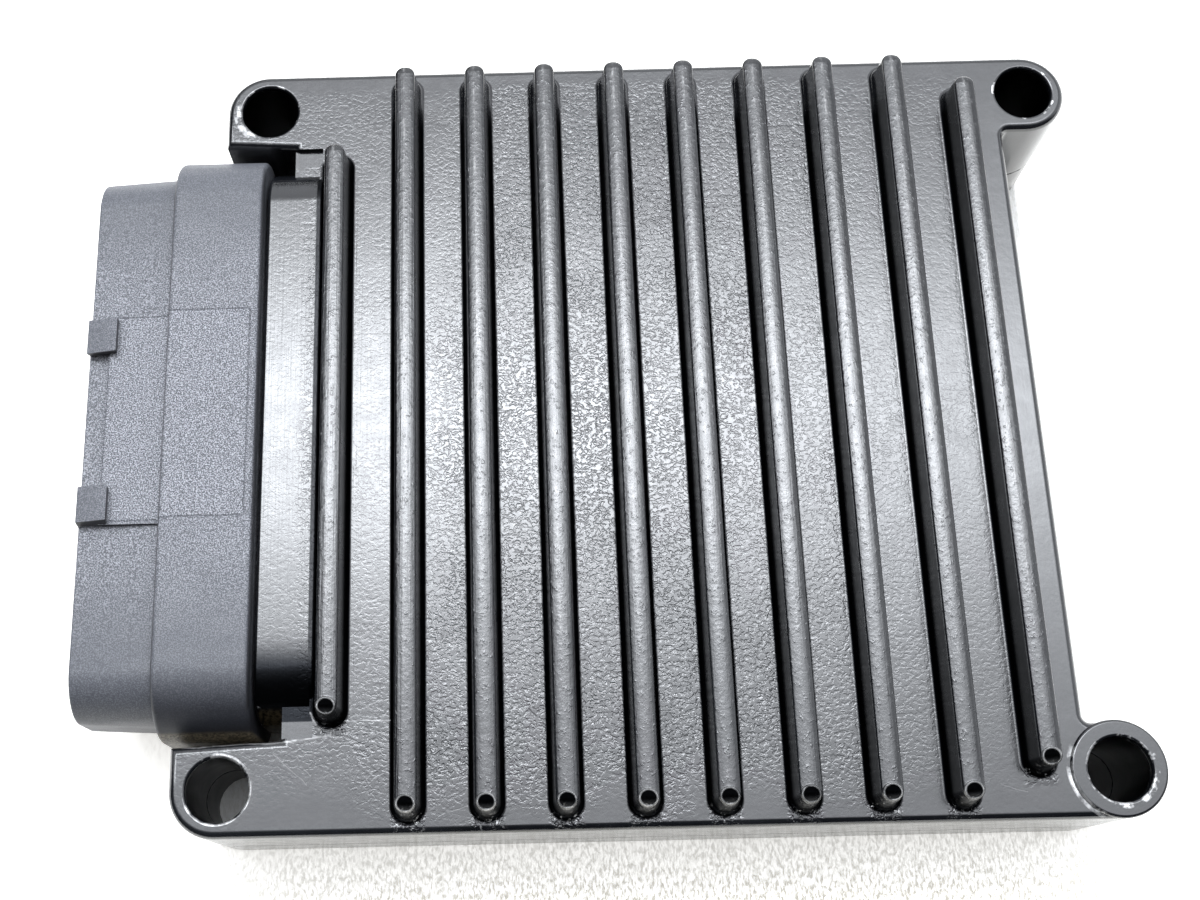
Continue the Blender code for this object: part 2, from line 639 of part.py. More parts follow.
def build_base_cover(parts, cutters, paint):
    tray = rounded_rim(flat_mesh("base_cover", [body_outline()], 0, SEAM_Z), 0, BASE_EDGE_RADIUS)
    cover = new_object("base_cover", tray, parts, paint)
    duct = duct_mesh("lower_duct", 0, SEAM_Z)
    combine(cover, new_cutter("lower_duct", duct, cutters), "UNION")
    cavity = cavity_mesh(FLOOR_THICKNESS, SEAM_Z + OVERCUT)
    combine(cover, new_cutter("cover_cavity", cavity, cutters), "DIFFERENCE")
    bosses = [
        round_bar("boss", place, COVER_BOSS_RADIUS, FLOOR_THICKNESS - EMBED, SEAM_Z)
        for place in cover_screw_places()
    ]
    combine(cover, new_cutter("cover_bosses", gathered(bosses, "cover_bosses"), cutters), "UNION")
    combine(cover, new_cutter("cover_duct_bore", duct_bore_mesh(), cutters), "DIFFERENCE")
    low = SEAM_Z - GROOVE_DEPTH
    high = SEAM_Z + OVERCUT
    ring, opening = seal_path_mesh("groove", GROOVE_WIDTH, low, high, 2 * SEAT_GAP)
    groove = new_cutter("groove", ring, cutters)
    combine(groove, new_cutter("groove_opening", opening, cutters), "DIFFERENCE")
    combine(cover, groove, "DIFFERENCE")
    holes = [
        round_bar("hole", centre, BORE_RADIUS, -OVERCUT, SEAM_Z + OVERCUT, ROUND_SEGMENTS)
        for centre in BORE_CENTRES
    ]
    for place in cover_screw_places():
        head = COVER_SCREW_HEAD_RADIUS + SEAT_GAP
        shank = COVER_SCREW_RADIUS + SEAT_GAP
        profile = [
            (head, -OVERCUT),
            (head, cover_screw_seat_z()),
            (shank, cover_screw_seat_z()),
            (shank, SEAM_Z + OVERCUT),
        ]
        lift = Matrix.Translation((*place, 0))
        holes.append(drawn_turning("screw_hole", profile, (0, 0), HIDDEN_SEGMENTS, lift))
    combine(cover, new_cutter("cover_holes", gathered(holes, "cover_holes"), cutters), "DIFFERENCE")


def build_seals(parts, cutters, rubber):
    low = SEAM_Z - GROOVE_DEPTH + SEAT_GAP
    ring, opening = seal_path_mesh("cover_seal", SEAL_WIDTH, low, SEAM_Z, 3 * SEAT_GAP)
    seal = new_object("cover_seal", ring, parts, rubber)
    combine(seal, new_cutter("seal_opening", opening, cutters), "DIFFERENCE")
    inner = DUCT_LIP_RADIUS
    outer = DUCT_BORE_RADIUS - SEAT_GAP
    back = DUCT_LIP_X - SEAT_GAP
    front = back - HEADER_SEAL_LENGTH
    sleeve = header_mesh("header_seal", [(outer, front), (outer, back)])
    header_seal = new_object("header_seal", sleeve, parts, rubber)
    hole = header_mesh("header_seal_hole", [(inner, front - OVERCUT), (inner, back + OVERCUT)])
    combine(header_seal, new_cutter("header_seal_hole", hole, cutters), "DIFFERENCE")


def pin_rows():
    """Row letter, height and bend place of each row, lowest first."""
    rows = []
    for index, letter in enumerate(PIN_ROWS):
        height = HEADER_Z + (index - (len(PIN_ROWS) - 1) / 2) * PIN_ROW_PITCH
        rows.append((letter, height, PIN_BEND_X + index * PIN_BEND_STEP))
    return rows


def pin_columns():
    return [(index - (PIN_COLUMNS - 1) / 2) * PIN_PITCH for index in range(PIN_COLUMNS)]


def latch_mesh(middle_y, lean):
    """A wedge that rises from the mouth to a steep back face and leans a little to one side."""
    crown = HEADER_Z + HEADER_RUN_Z + SHROUD_RADIUS
    bm = bmesh.new()
    low = Vector((SHROUD_MOUTH_X, middle_y - LATCH_WIDTH / 2, crown - SHROUD_DRAFT - EMBED))
    high = Vector((SHROUD_MOUTH_X + LATCH_LENGTH, middle_y + LATCH_WIDTH / 2, crown + LATCH_HEIGHT))
    place = Matrix.Translation((low + high) / 2) @ Matrix.Diagonal((*(high - low), 1))
    bmesh.ops.create_cube(bm, size=1, matrix=place)
    for vert in bm.verts:
        if vert.co.z > crown and vert.co.x < (low.x + high.x) / 2:
            vert.co.z = crown + LATCH_HEIGHT * LATCH_LEAD_SHARE
        if vert.co.z > crown:
            vert.co.x += LATCH_OVERHANG if vert.co.x > (low.x + high.x) / 2 else 0
            vert.co.y += lean * LATCH_OVERHANG
    return mesh_from(bm, "latch")


def build_header(parts, cutters, plastic):
    mouth = SHROUD_RADIUS - SHROUD_DRAFT
    inner = mouth - SHROUD_WALL
    rounding = edge_steps(COLLAR_EDGE_RADIUS)
    profile = [
        (TAIL_RADIUS, TAIL_BACK_X),
        (TAIL_RADIUS, RIB_BACK_X),
        (NECK_RIB_RADIUS, RIB_BACK_X),
        (NECK_RIB_RADIUS, RIB_FRONT_X),
        (NECK_RADIUS, RIB_FRONT_X),
        (NECK_RADIUS, COLLAR_BACK_X),
    ]
    profile += [(COLLAR_RADIUS - side, COLLAR_BACK_X - depth) for side, depth in reversed(rounding)]
    profile += [(COLLAR_RADIUS - side, COLLAR_FRONT_X + depth) for side, depth in rounding]
    profile += [
        (SHROUD_RADIUS, COLLAR_FRONT_X),
        (mouth, SHROUD_MOUTH_X + COLLAR_EDGE_RADIUS / 2),
        (mouth - COLLAR_EDGE_RADIUS / 2, SHROUD_MOUTH_X),
        (inner + COLLAR_EDGE_RADIUS / 2, SHROUD_MOUTH_X),
        (inner, SHROUD_MOUTH_X + COLLAR_EDGE_RADIUS / 2),
        (inner, SOCKET_FLOOR_X),
    ]
    header = new_object("header_body", header_mesh("header_body", profile), parts, plastic)
    crown = HEADER_Z + HEADER_RUN_Z + SHROUD_RADIUS
    pad = block_mesh(
        "latch_pad",
        (COLLAR_FRONT_X - PAD_LENGTH, LATCH_MIDDLE_Y - PAD_WIDTH / 2, crown - SHROUD_DRAFT - EMBED),
        (COLLAR_FRONT_X + EMBED, LATCH_MIDDLE_Y + PAD_WIDTH / 2, crown + PAD_HEIGHT),
    )
    combine(header, new_cutter("latch_pad", pad, cutters), "UNION")
    latches = [latch_mesh(LATCH_MIDDLE_Y + side * LATCH_SPACING / 2, -side) for side in (-1, 1)]
    combine(header, new_cutter("latches", gathered(latches, "latches"), cutters), "UNION")
    half = PIN_WIDTH / 2 + SEAT_GAP
    slots = []
    for _, height, _ in pin_rows():
        for y in pin_columns():
            low = (SOCKET_FLOOR_X - OVERCUT, y - half, height - half)
            high = (TAIL_BACK_X + OVERCUT, y + half, height + half)
            slots.append(block_mesh("slot", low, high))
    combine(header, new_cutter("pin_slots", gathered(slots, "pin_slots"), cutters), "DIFFERENCE")


def pin_mesh(height, bend_x):
    """A stamped pin: straight out to the socket, bent down through the board, both tips tapered."""
    half = PIN_WIDTH / 2
    tip = PIN_TIP_WIDTH / 2
    tail_z = BOARD_BOTTOM_Z - PIN_TAIL
    outline = [
        (PIN_TIP_X, height - tip),
        (PIN_TIP_X + PIN_TAPER, height - half),
        (bend_x - half, height - half),
        (bend_x - half, tail_z + PIN_TAPER),
        (bend_x - tip, tail_z),
        (bend_x + tip, tail_z),
        (bend_x + half, tail_z + PIN_TAPER),
        (bend_x + half, height),
        (bend_x, height + half),
        (PIN_TIP_X + PIN_TAPER, height + half),
        (PIN_TIP_X, height + tip),
    ]
    mesh = flat_mesh("header_pin", [outline], -half, half)
    mesh.transform(Matrix.Rotation(math.radians(90), 4, "X"))
    return mesh


def build_pins(parts, tin):
    for letter, height, bend_x in pin_rows():
        mesh = pin_mesh(height, bend_x)
        for column, y in enumerate(pin_columns(), start=1):
            pin = new_object(f"header_pin_{letter}{column:02d}", mesh, parts, tin)
            pin.location.y = y


def build_board(parts, laminate):
    holes = [circle(place, BOARD_SCREW_RADIUS + SEAT_GAP, HIDDEN_SEGMENTS) for place in post_places()]
    half = PIN_WIDTH / 2 + SEAT_GAP
    for _, _, bend_x in pin_rows():
        for y in pin_columns():
            holes.append([
                (bend_x - half, y - half),
                (bend_x + half, y - half),
                (bend_x + half, y + half),
                (bend_x - half, y + half),
            ])
    outline = rounded_rectangle(
        (BOARD_LEFT_X, -BOARD_HALF_Y), (BOARD_RIGHT_X, BOARD_HALF_Y), BOARD_CORNER_RADIUS
    )
    board = flat_mesh("circuit_board", [outline] + holes, BOARD_BOTTOM_Z, BOARD_TOP_Z)
    new_object("circuit_board", board, parts, laminate)


def screw_mesh(name, radius, length, head_radius, head_height, cutters):
    """A pan-head screw standing on its head, with a six-sided socket in the head."""
    crown = head_height * SCREW_CROWN_SHARE
    corner = crown * SCREW_CROWN_CUT
    point = radius * SCREW_POINT_SHARE
    profile = [
        (head_radius - crown, -head_height),
        (head_radius - corner, -head_height + corner),
        (head_radius, -head_height + crown),
        (head_radius, 0),
        (radius, 0),
        (radius, length - radius + point),
        (point, length),
    ]
    blank = new_cutter(name, drawn_turning(name, profile, segments=HIDDEN_SEGMENTS), cutters)
    socket = [
        (SCREW_SOCKET_RADIUS, -head_height - OVERCUT),
        (SCREW_SOCKET_RADIUS, -head_height + SCREW_SOCKET_DEPTH),
    ]
    key = new_cutter(name + "_socket", drawn_turning(name + "_socket", socket, segments=6), cutters)
    combine(blank, key, "DIFFERENCE")
    mesh = finished_mesh(blank, name)
    bpy.data.objects.remove(blank)
    return mesh


def build_screws(parts, cutters, steel):
    mesh = screw_mesh(
        "cover_screw",
        COVER_SCREW_RADIUS,
        COVER_SCREW_LENGTH,
        COVER_SCREW_HEAD_RADIUS,
        COVER_SCREW_HEAD_HEIGHT,
        cutters,
    )
    for index, (x, y) in enumerate(cover_screw_places(), start=1):
        screw = new_object(f"cover_screw_{index}", mesh, parts, steel)
        screw.location = (x, y, cover_screw_seat_z() - SEAT_GAP)
    mesh = screw_mesh(
        "board_screw",
        BOARD_SCREW_RADIUS,
        BOARD_SCREW_LENGTH,
        BOARD_SCREW_HEAD_RADIUS,
        BOARD_SCREW_HEAD_HEIGHT,
        cutters,
    )
    for index, (x, y) in enumerate(post_places(), start=1):
        screw = new_object(f"board_screw_{index}", mesh, parts, steel)
        screw.location = (x, y, BOARD_BOTTOM_Z - SEAT_GAP)


def chip_mesh(name, size, place):
    """A moulded package: a low block with its upper edges chamfered."""
    half = (size[0] / 2, size[1] / 2)
    outline = [(-half[0], -half[1]), (half[0], -half[1]), (half[0], half[1]), (-half[0], half[1])]
    mesh = flat_mesh(name, [outline], CHIP_Z, CHIP_Z + size[2])
    rounded_rim(mesh, CHIP_Z + size[2], min(size) * CHIP_EDGE_SHARE)
    mesh.transform(Matrix.Translation((*place, 0)))
    return mesh


def leg_meshes(size, place, count, sides):
    """Flat legs along two or four sides of a package, from its waist down to the board."""
    legs = []
    half = LEG_WIDTH / 2
    waist = CHIP_Z + size[2] / 2
    for along in sides:
        across = 1 - along
        pitch = size[along] / (count + 0.5)
        for side in (-1, 1):
            edge = place[across] + side * size[across] / 2
            ends = sorted((edge - side * EMBED, edge + side * LEG_LENGTH))
            for index in range(count):
                middle = place[along] + (index - (count - 1) / 2) * pitch
                low = [0, 0, CHIP_Z]
                high = [0, 0, waist]
                low[across], high[across] = ends
                low[along], high[along] = middle - half, middle + half
                legs.append(block_mesh("leg", low, high))
    return legs


def build_electronics(parts, cutters, resin, can, pad_grey):
    for name, y in zip(("coil_driver_front", "injector_driver", "coil_driver_rear"), DRIVER_Y):
        place = (DRIVER_X, y)
        driver = new_object(name, chip_mesh(name, DRIVER_SIZE, place), parts, resin)
        legs = gathered(leg_meshes(DRIVER_SIZE, place, DRIVER_LEGS, (1,)), name + "_legs")
        combine(driver, new_cutter(name + "_legs", legs, cutters), "UNION")
    processor = chip_mesh("microcontroller", PROCESSOR_SIZE, PROCESSOR_PLACE)
    chip = new_object("microcontroller", processor, parts, resin)
    legs = gathered(leg_meshes(PROCESSOR_SIZE, PROCESSOR_PLACE, PROCESSOR_LEGS, (0, 1)), "processor_legs")
    combine(chip, new_cutter("processor_legs", legs, cutters), "UNION")
    body = chip_mesh("voltage_regulator", REGULATOR_SIZE, REGULATOR_PLACE)
    regulator = new_object("voltage_regulator", body, parts, resin)
    legs = gathered(leg_meshes(REGULATOR_SIZE, REGULATOR_PLACE, REGULATOR_LEGS, (0,)), "regulator_legs")
    combine(regulator, new_cutter("regulator_legs", legs, cutters), "UNION")
    rim = CAPACITOR_BEAD
    profile = [
        (CAPACITOR_RADIUS, 0),
        (CAPACITOR_RADIUS, rim),
        (CAPACITOR_RADIUS - rim, 2 * rim),
        (CAPACITOR_RADIUS, 3 * rim),
        (CAPACITOR_RADIUS, CAPACITOR_HEIGHT - rim),
        (CAPACITOR_RADIUS - rim, CAPACITOR_HEIGHT),
    ]
    place = Matrix.Translation((*CAPACITOR_PLACE, CHIP_Z))
    new_object("reservoir_capacitor", drawn_turning("reservoir_capacitor", profile, place=place), parts, can)
    radius = CRYSTAL_SIZE[1] / 2
    top = CRYSTAL_SIZE[2]
    profile = [(radius, 0), (radius, top - CRYSTAL_EDGE), (radius - CRYSTAL_EDGE, top)]
    place = Matrix.Translation((*CRYSTAL_PLACE, CHIP_Z))
    run = (CRYSTAL_SIZE[0] / 2 - radius, 0)
    shape = drawn_turning("clock_crystal", profile, run, CRYSTAL_SEGMENTS, place)
    new_object("clock_crystal", shape, parts, can)
    half_x = DRIVER_SIZE[0] / 2
    half_y = max(DRIVER_Y) + DRIVER_SIZE[1] / 2
    low = CHIP_Z + DRIVER_SIZE[2] + SEAT_GAP
    outline = rounded_rectangle((DRIVER_X - half_x, -half_y), (DRIVER_X + half_x, half_y), PEDESTAL_MARGIN)
    pad = flat_mesh("thermal_pad", [outline], low, low + THERMAL_PAD_THICKNESS)
    new_object("thermal_pad", pad, parts, pad_grey)


def main():
    clear_scene()
    parts = new_collection("engine_control_unit")
    cutters = new_collection("cutters")
    paint = new_material("black_paint", (0.035, 0.037, 0.040), 0.25, 0.0)
    plastic = new_material("grey_plastic", (0.075, 0.078, 0.082), 0.55, 0.0)
    rubber = new_material("seal_rubber", (0.015, 0.015, 0.015), 0.8, 0.0)
    tin = new_material("tinned_pin", (0.72, 0.70, 0.66), 0.3, 1.0)
    laminate = new_material("board_laminate", (0.02, 0.16, 0.07), 0.45, 0.0)
    steel = new_material("zinc_steel", (0.55, 0.56, 0.58), 0.35, 1.0)
    resin = new_material("chip_resin", (0.02, 0.02, 0.022), 0.6, 0.0)
    can = new_material("metal_can", (0.62, 0.63, 0.65), 0.3, 1.0)
    pad_grey = new_material("thermal_pad", (0.35, 0.37, 0.40), 0.8, 0.0)
    build_upper_housing(parts, cutters, paint)
    build_base_cover(parts, cutters, paint)
    build_seals(parts, cutters, rubber)
    build_header(parts, cutters, plastic)
    build_pins(parts, tin)
    build_board(parts, laminate)
    build_screws(parts, cutters, steel)
    build_electronics(parts, cutters, resin, can, pad_grey)


main()
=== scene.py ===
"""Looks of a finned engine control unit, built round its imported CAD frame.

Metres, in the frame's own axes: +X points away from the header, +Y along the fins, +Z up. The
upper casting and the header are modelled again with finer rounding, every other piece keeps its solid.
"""

import math

import bmesh
import bpy
from mathutils import Matrix, Vector


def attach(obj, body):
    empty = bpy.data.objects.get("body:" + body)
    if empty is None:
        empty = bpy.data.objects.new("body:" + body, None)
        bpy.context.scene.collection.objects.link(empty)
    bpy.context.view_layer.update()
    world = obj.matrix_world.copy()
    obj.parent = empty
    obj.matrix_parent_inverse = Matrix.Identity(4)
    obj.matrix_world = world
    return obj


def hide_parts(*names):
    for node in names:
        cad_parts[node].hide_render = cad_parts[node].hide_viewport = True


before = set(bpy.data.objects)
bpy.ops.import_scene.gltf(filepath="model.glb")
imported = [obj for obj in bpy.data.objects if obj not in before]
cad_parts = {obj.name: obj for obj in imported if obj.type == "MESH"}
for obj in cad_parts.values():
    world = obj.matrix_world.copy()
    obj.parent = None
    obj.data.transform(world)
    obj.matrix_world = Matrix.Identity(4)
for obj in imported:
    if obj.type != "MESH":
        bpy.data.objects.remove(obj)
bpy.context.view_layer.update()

bl_info = {
    "name": "Engine Control Unit",
    "version": (1, 0, 0),
    "blender": (4, 5, 0),
    "location": "3D View > Sidebar > Control Unit",
    "description": "Builds a finned engine control unit and its studio",
    "category": "Object",
}

# Castings, seen from above
BODY_HALF_X = 0.0514
BODY_HALF_Y = 0.0547
EAR_RADIUS = 0.0060
BORE_RADIUS = 0.00405
BORE_Y = 0.0487
BORES = ((0.0551, -BORE_Y), (0.0551, BORE_Y), (-0.0552, BORE_Y), (-0.0594, -BORE_Y))
LEFT_EAR_MARGIN = 0.0062
NOTCH_HALF_Y = 0.0426
EAR_TAPER = 0.0006
NOTCH_FILLET = 0.0010
BORE_LIP = 0.0004
PAD_CENTRE = (BORES[0][0] - 0.0001, BORES[0][1] + 0.0001)
PAD_RADIUS = 0.00615        # raised seat round the front right bore
PAD_HEIGHT = 0.0004

# Castings, heights and walls
HOUSING_BOTTOM_Z = 0.0093
DECK_Z = 0.0235
CEILING_Z = 0.0207
SHELF_Z = 0.0227
SHELF_RIGHT_X = -0.0473
SHELF_HALF_Y = 0.0424
DECK_ROUND = 0.0011
CAVITY_HALF_X = 0.0484
CAVITY_HALF_Y = 0.0517
CAVITY_ROUND = 0.0040

# Under the deck: posts for the board's screws, bosses for the cover's screws and the heat pedestal
BOARD_POSTS = [(x, y) for x in (-0.0405, 0.0415) for y in (-0.0402, 0.0402)]
BOARD_POST_RADIUS = 0.0030
BOARD_HOLE_RADIUS = 0.00155
BOARD_HOLE_TOP_Z = 0.0147
COVER_BOSSES = [(x, y) for x in (-0.0380, 0.0030, 0.0440) for y in (-0.0494, 0.0494)]
COVER_BOSS_RADIUS = 0.0036
COVER_HOLE_RADIUS = 0.0018
COVER_HOLE_TOP_Z = 0.0152
PEDESTAL_X = (0.0170, 0.0350)
PEDESTAL_HALF_Y = 0.0310
PEDESTAL_FOOT_Z = 0.0127

# Fins
FIN_COUNT = 10
FIN_PITCH = 0.0100
FIN_TOP_Z = 0.0291
FIN_HALF_WIDTH = 0.0014
FIN_DRAFT = 0.00035
FIN_ROOT_ROUND = 0.0010
FIN_NOSE = 0.0013           # how far a fin's top comes down at its round ends
FIN_ROOT_Z = -0.0015        # foot of a fin, below the deck
FIN_ROOT_SINK = 0.00002
FIN_CROWN_TILT = math.radians(21)
FIN_CROWN_HALF = 0.00122    # half the width of the shallow crown
FIN_EDGE_TURN = math.radians(88)
FIN_HALF_LENGTHS = [0.0403] + [0.0525] * 8 + [0.0486]

# Header, seen along X
HEADER_Z = 0.0151
HEADER_RUN = (0.0329, 0.0028)
SHROUD_MOUTH_X = -0.0791
SHROUD_RADIUS = 0.0070
SHROUD_DRAFT = 0.0006
SHROUD_WALL = 0.0016
COLLAR_FRONT_X = -0.0679
COLLAR_BACK_X = -0.0553
COLLAR_RADIUS = 0.0092
COLLAR_ROUND = 0.0007
SOCKET_FLOOR_X = -0.0620
CROWN_Z = HEADER_Z + HEADER_RUN[1] + SHROUD_RADIUS
DUCT_SPAN = (-0.0549, -0.0470)
DUCT_RADIUS = 0.0072
DUCT_ROUND = 0.0005
DUCT_BORE = (               # radius and x, from the mouth inwards
    (0.0048, -0.0559),
    (0.0048, -0.0526),
    (0.0037, -0.0526),
    (0.0037, -0.0514),
    (0.0048, -0.0514),
    (0.0048, -0.0493),
    (0.0023, -0.0493),
    (0.0023, -0.0474),
)
NECK = (                    # radius and x, from the board's side to the collar
    (0.0020, -0.0440),
    (0.0020, -0.0496),
    (0.0045, -0.0496),
    (0.0045, -0.0511),
    (0.0034, -0.0511),
    (0.0034, COLLAR_BACK_X),
)
BARE_PAD_REACH = 0.0082     # from the collar's front towards the mouth
BARE_PAD_HALF_Y = 0.01475
BARE_PAD_HEIGHT = 0.0005
LATCH_MIDDLE_Y = 0.0008
LATCH_OFF_MIDDLE = 0.0124
LATCH_LENGTH = 0.0039
LATCH_HALF_WIDTH = 0.0025
LATCH_HEIGHT = 0.0021
LATCH_FRONT_SHARE = 0.45    # of the height, at the mouth
LATCH_LEAN = 0.0004
LATCH_ROUND = 0.00012
PIN_COLUMNS = 12
PIN_PITCH_Y = 0.0050
PIN_PITCH_Z = 0.0032
PIN_SLOT_HALF = 0.0007
PIN_SLOT_X = (-0.0630, -0.0430)

# Coarser field in the header's top, with a fine line round it
PANEL_CENTRE = (-0.06630, 0.00125)
PANEL_HALF = (0.00980, 0.01475)

# Bare metal round the bores: centre, radius, width, how broken up, the side it is on and how far
# round it goes
WORN_ARCS = (
    (PAD_CENTRE, 0.00625, 0.00042, 0.38, (-0.92, -0.38), 0.62),
    (BORES[0], 0.0046, 0.00032, 0.49, (0.75, -0.66), 0.30),
    (BORES[0], 0.0043, 0.00018, 0.48, (0.0, 0.0), -1.0),
    (BORES[1], 0.0044, 0.00022, 0.54, (0.0, 0.0), -1.0),
    (BORES[2], 0.0047, 0.00065, 0.42, (-0.70, -0.71), 0.45),
    (BORES[2], 0.0043, 0.00015, 0.52, (0.0, 0.0), -1.0),
    (BORES[3], 0.0043, 0.00020, 0.40, (0.60, -0.80), -0.25),
    (BORES[3], 0.0042, 0.00050, 0.46, (0.45, 0.89), 0.55),
)

# Ridges of flash left by the mould, drawn with no relief, only as lines of painted highlight: from, to, width
FLASH_HIGHLIGHTS = (
    ((-0.0640, -0.0432), (-0.0512, -0.0428), 0.00016),
    ((-0.0512, -0.0428), (-0.0448, -0.0421), 0.00022),
    ((-0.0476, -0.0392), (-0.0462, -0.0418), 0.00022),
    ((-0.0430, -0.0403), (-0.0372, -0.0404), 0.00014),
)
SCRATCHES = (
    ((-0.0522, -0.0444), (-0.0480, -0.0483), 0.00013),
    ((-0.0488, -0.0459), (-0.0474, -0.0472), 0.00009),
    ((0.0360, -0.0508), (0.0385, -0.0498), 0.00010),
    ((0.0400, -0.0502), (0.0432, -0.0513), 0.00008),
    ((-0.0300, -0.0520), (-0.0275, -0.0514), 0.00010),
)

# Colours that are not in the sidebar
# Painted shade for the near end of the header
COLLAR_SHADE = (0.006, 0.007, 0.011)
# Painted shade for the flanks of the latch ramps
LATCH_FLANK_SHADE = (0.012, 0.012, 0.014)
# Tint of the floor's mottle, which shows in a painted shadow in front of the unit
FLOOR_MOTTLE_SHADOW_TINT = (0.43, 0.39, 0.29)
FLOOR_GLOW_TINT = (1.0, 0.985, 0.945, 1.0)
DOME_TINT = (0.915, 0.948, 1.0, 1.0)
FILL_TINT = (0.97, 0.985, 1.0)

# Finishes of the pieces inside, by material slot, as plain_finish takes them
INNER_FINISHES = {
    "seal_rubber": ((0.012,) * 3, (0.02,) * 3, 0.75),
    "tinned_pin": ((0.70, 0.68, 0.63), (0.60, 0.57, 0.52), 0.28, 1.0, 900.0),
    "board_laminate": ((0.012, 0.10, 0.045), (0.018, 0.14, 0.06), 0.35, 0.0, 700.0),
    "zinc_steel": ((0.50, 0.51, 0.53), (0.62, 0.62, 0.60), 0.32, 1.0, 800.0),
    "chip_resin": ((0.014, 0.014, 0.015), (0.024, 0.024, 0.025), 0.55, 0.0, 1500.0),
    "metal_can": ((0.60, 0.61, 0.63), (0.68, 0.68, 0.69), 0.28, 1.0, 900.0, 0.000004, (1, 1, 6)),
    "thermal_pad": ((0.30, 0.33, 0.38), (0.36, 0.39, 0.43), 0.8),
}
CHIPS = ("microcontroller", "voltage_regulator", "injector_driver", "coil_driver_front", "coil_driver_rear")

# Camera, fitted to the view of the photograph
CAMERA_PLACE = (-0.01958, -0.06867, 0.22446)
CAMERA_TURN = (0.323, 0.0137, -0.0217)
CAMERA_SHIFT = (0.0738, -0.0173)
SENSOR_WIDTH = 36

ALONG_X = Matrix(((0, 0, 1, 0), (1, 0, 0, 0), (0, 1, 0, 0), (0, 0, 0, 1)))
SINK = 0.0006               # how far an added shape reaches into what carries it
OVERCUT = 0.001             # how far a cut reaches past the face it opens


def own_object(name, bm):
    """Closes a bmesh into an object with its faces pointing out."""
    bmesh.ops.recalc_face_normals(bm, faces=bm.faces)
    mesh = bpy.data.meshes.new(name)
    bm.to_mesh(mesh)
    bm.free()
    made = bpy.data.objects.new(name, mesh)
    bpy.context.scene.collection.objects.link(made)
    return made


def rounded(bm, edges, radius, segments):
    bmesh.ops.bevel(
        bm,
        geom=edges,
        offset=radius,
        segments=segments,
        profile=0.5,
        affect="EDGES",
        material=-1,
        clamp_overlap=True,
    )


def upright_edges(bm, x=None, y=None):
    """Upright edges of a block, optionally only those at one place in plan."""
    found = []
    for edge in bm.edges:
        first, second = edge.verts
        if (first.co - second.co).xy.length > 1e-7:
            continue
        if x is not None and abs(first.co.x - x) > 1e-6:
            continue
        if y is not None and abs(first.co.y - y) > 1e-6:
            continue
        found.append(edge)
    return found


def raised_plan(corners, low, high):
    """Draws a plan face and pulls it up into a block."""
    bm = bmesh.new()
    face = bm.faces.new([bm.verts.new((x, y, low)) for x, y in corners])
    pulled = bmesh.ops.extrude_face_region(bm, geom=[face])
    top = [part for part in pulled["geom"] if isinstance(part, bmesh.types.BMVert)]
    bmesh.ops.translate(bm, vec=(0, 0, high - low), verts=top)
    if not any(abs(face.calc_center_median().z - low) < 1e-7 for face in bm.faces):
        bmesh.ops.holes_fill(bm, edges=bm.edges, sides=0)
    bmesh.ops.recalc_face_normals(bm, faces=bm.faces)
    return bm


def rim_edges(bm, height):
    """The edges round the face at one height where it turns down."""
    return [
        edge
        for edge in bm.edges
        if all(abs(vert.co.z - height) < 1e-6 for vert in edge.verts)
        and edge.calc_face_angle(0) > math.radians(60)
    ]


def body_block(low, high, rim, radius):
    """The outline of both castings: a rectangle with round ears right and longer ones left."""
    right = BORES[0][0] + EAR_RADIUS
    front_tip = BORES[3][0] - LEFT_EAR_MARGIN
    rear_tip = BORES[2][0] - LEFT_EAR_MARGIN
    inner = BORE_Y - EAR_RADIUS
    corners = [
        (front_tip, -BODY_HALF_Y),
        (right, -BODY_HALF_Y),
        (right, -inner),
        (BODY_HALF_X, -inner),
        (BODY_HALF_X, inner),
        (right, inner),
        (right, BODY_HALF_Y),
        (rear_tip, BODY_HALF_Y),
        (rear_tip, NOTCH_HALF_Y + EAR_TAPER),
        (-BODY_HALF_X, NOTCH_HALF_Y),
        (-BODY_HALF_X, -NOTCH_HALF_Y),
        (front_tip, -NOTCH_HALF_Y - EAR_TAPER),
    ]
    bm = raised_plan(corners, low, high)
    tips = upright_edges(bm, x=front_tip, y=-BODY_HALF_Y)
    tips += upright_edges(bm, x=rear_tip, y=BODY_HALF_Y)
    tips += upright_edges(bm, x=right)
    rounded(bm, tips, EAR_RADIUS - 1e-6, 14)
    bmesh.ops.remove_doubles(bm, verts=bm.verts, dist=1e-5)
    notches = upright_edges(bm, x=BODY_HALF_X, y=-inner) + upright_edges(bm, x=BODY_HALF_X, y=inner)
    rounded(bm, notches, NOTCH_FILLET, 6)
    rounded(bm, rim_edges(bm, rim), radius, 6)
    return bm


def turned(profile, run=(0, 0), segments=48, place=Matrix()):
    """Spins a (radius, height) profile and draws its four quarters apart into a rounded block."""
    bm = bmesh.new()
    start = math.pi / segments
    ring = [bm.verts.new((r * math.cos(start), r * math.sin(start), h)) for r, h in profile]
    chain = [bm.edges.new(pair) for pair in zip(ring, ring[1:])]
    bmesh.ops.spin(
        bm,
        geom=ring + chain,
        cent=(0, 0, 0),
        axis=(0, 0, 1),
        angle=math.tau,
        steps=segments,
        use_merge=True,
    )
    for vert in bm.verts:
        vert.co.x += math.copysign(run[0], vert.co.x)
        vert.co.y += math.copysign(run[1], vert.co.y)
    bmesh.ops.remove_doubles(bm, verts=bm.verts, dist=1e-7)
    bmesh.ops.holes_fill(bm, edges=bm.edges, sides=0)
    bmesh.ops.transform(bm, matrix=place, verts=bm.verts)
    return bm


def header_block(profile, segments=64):
    """A rounded block along X on the header's own corners; the profile is (radius, x)."""
    place = Matrix.Translation((0, 0, HEADER_Z)) @ ALONG_X
    return turned(profile, HEADER_RUN, segments, place)


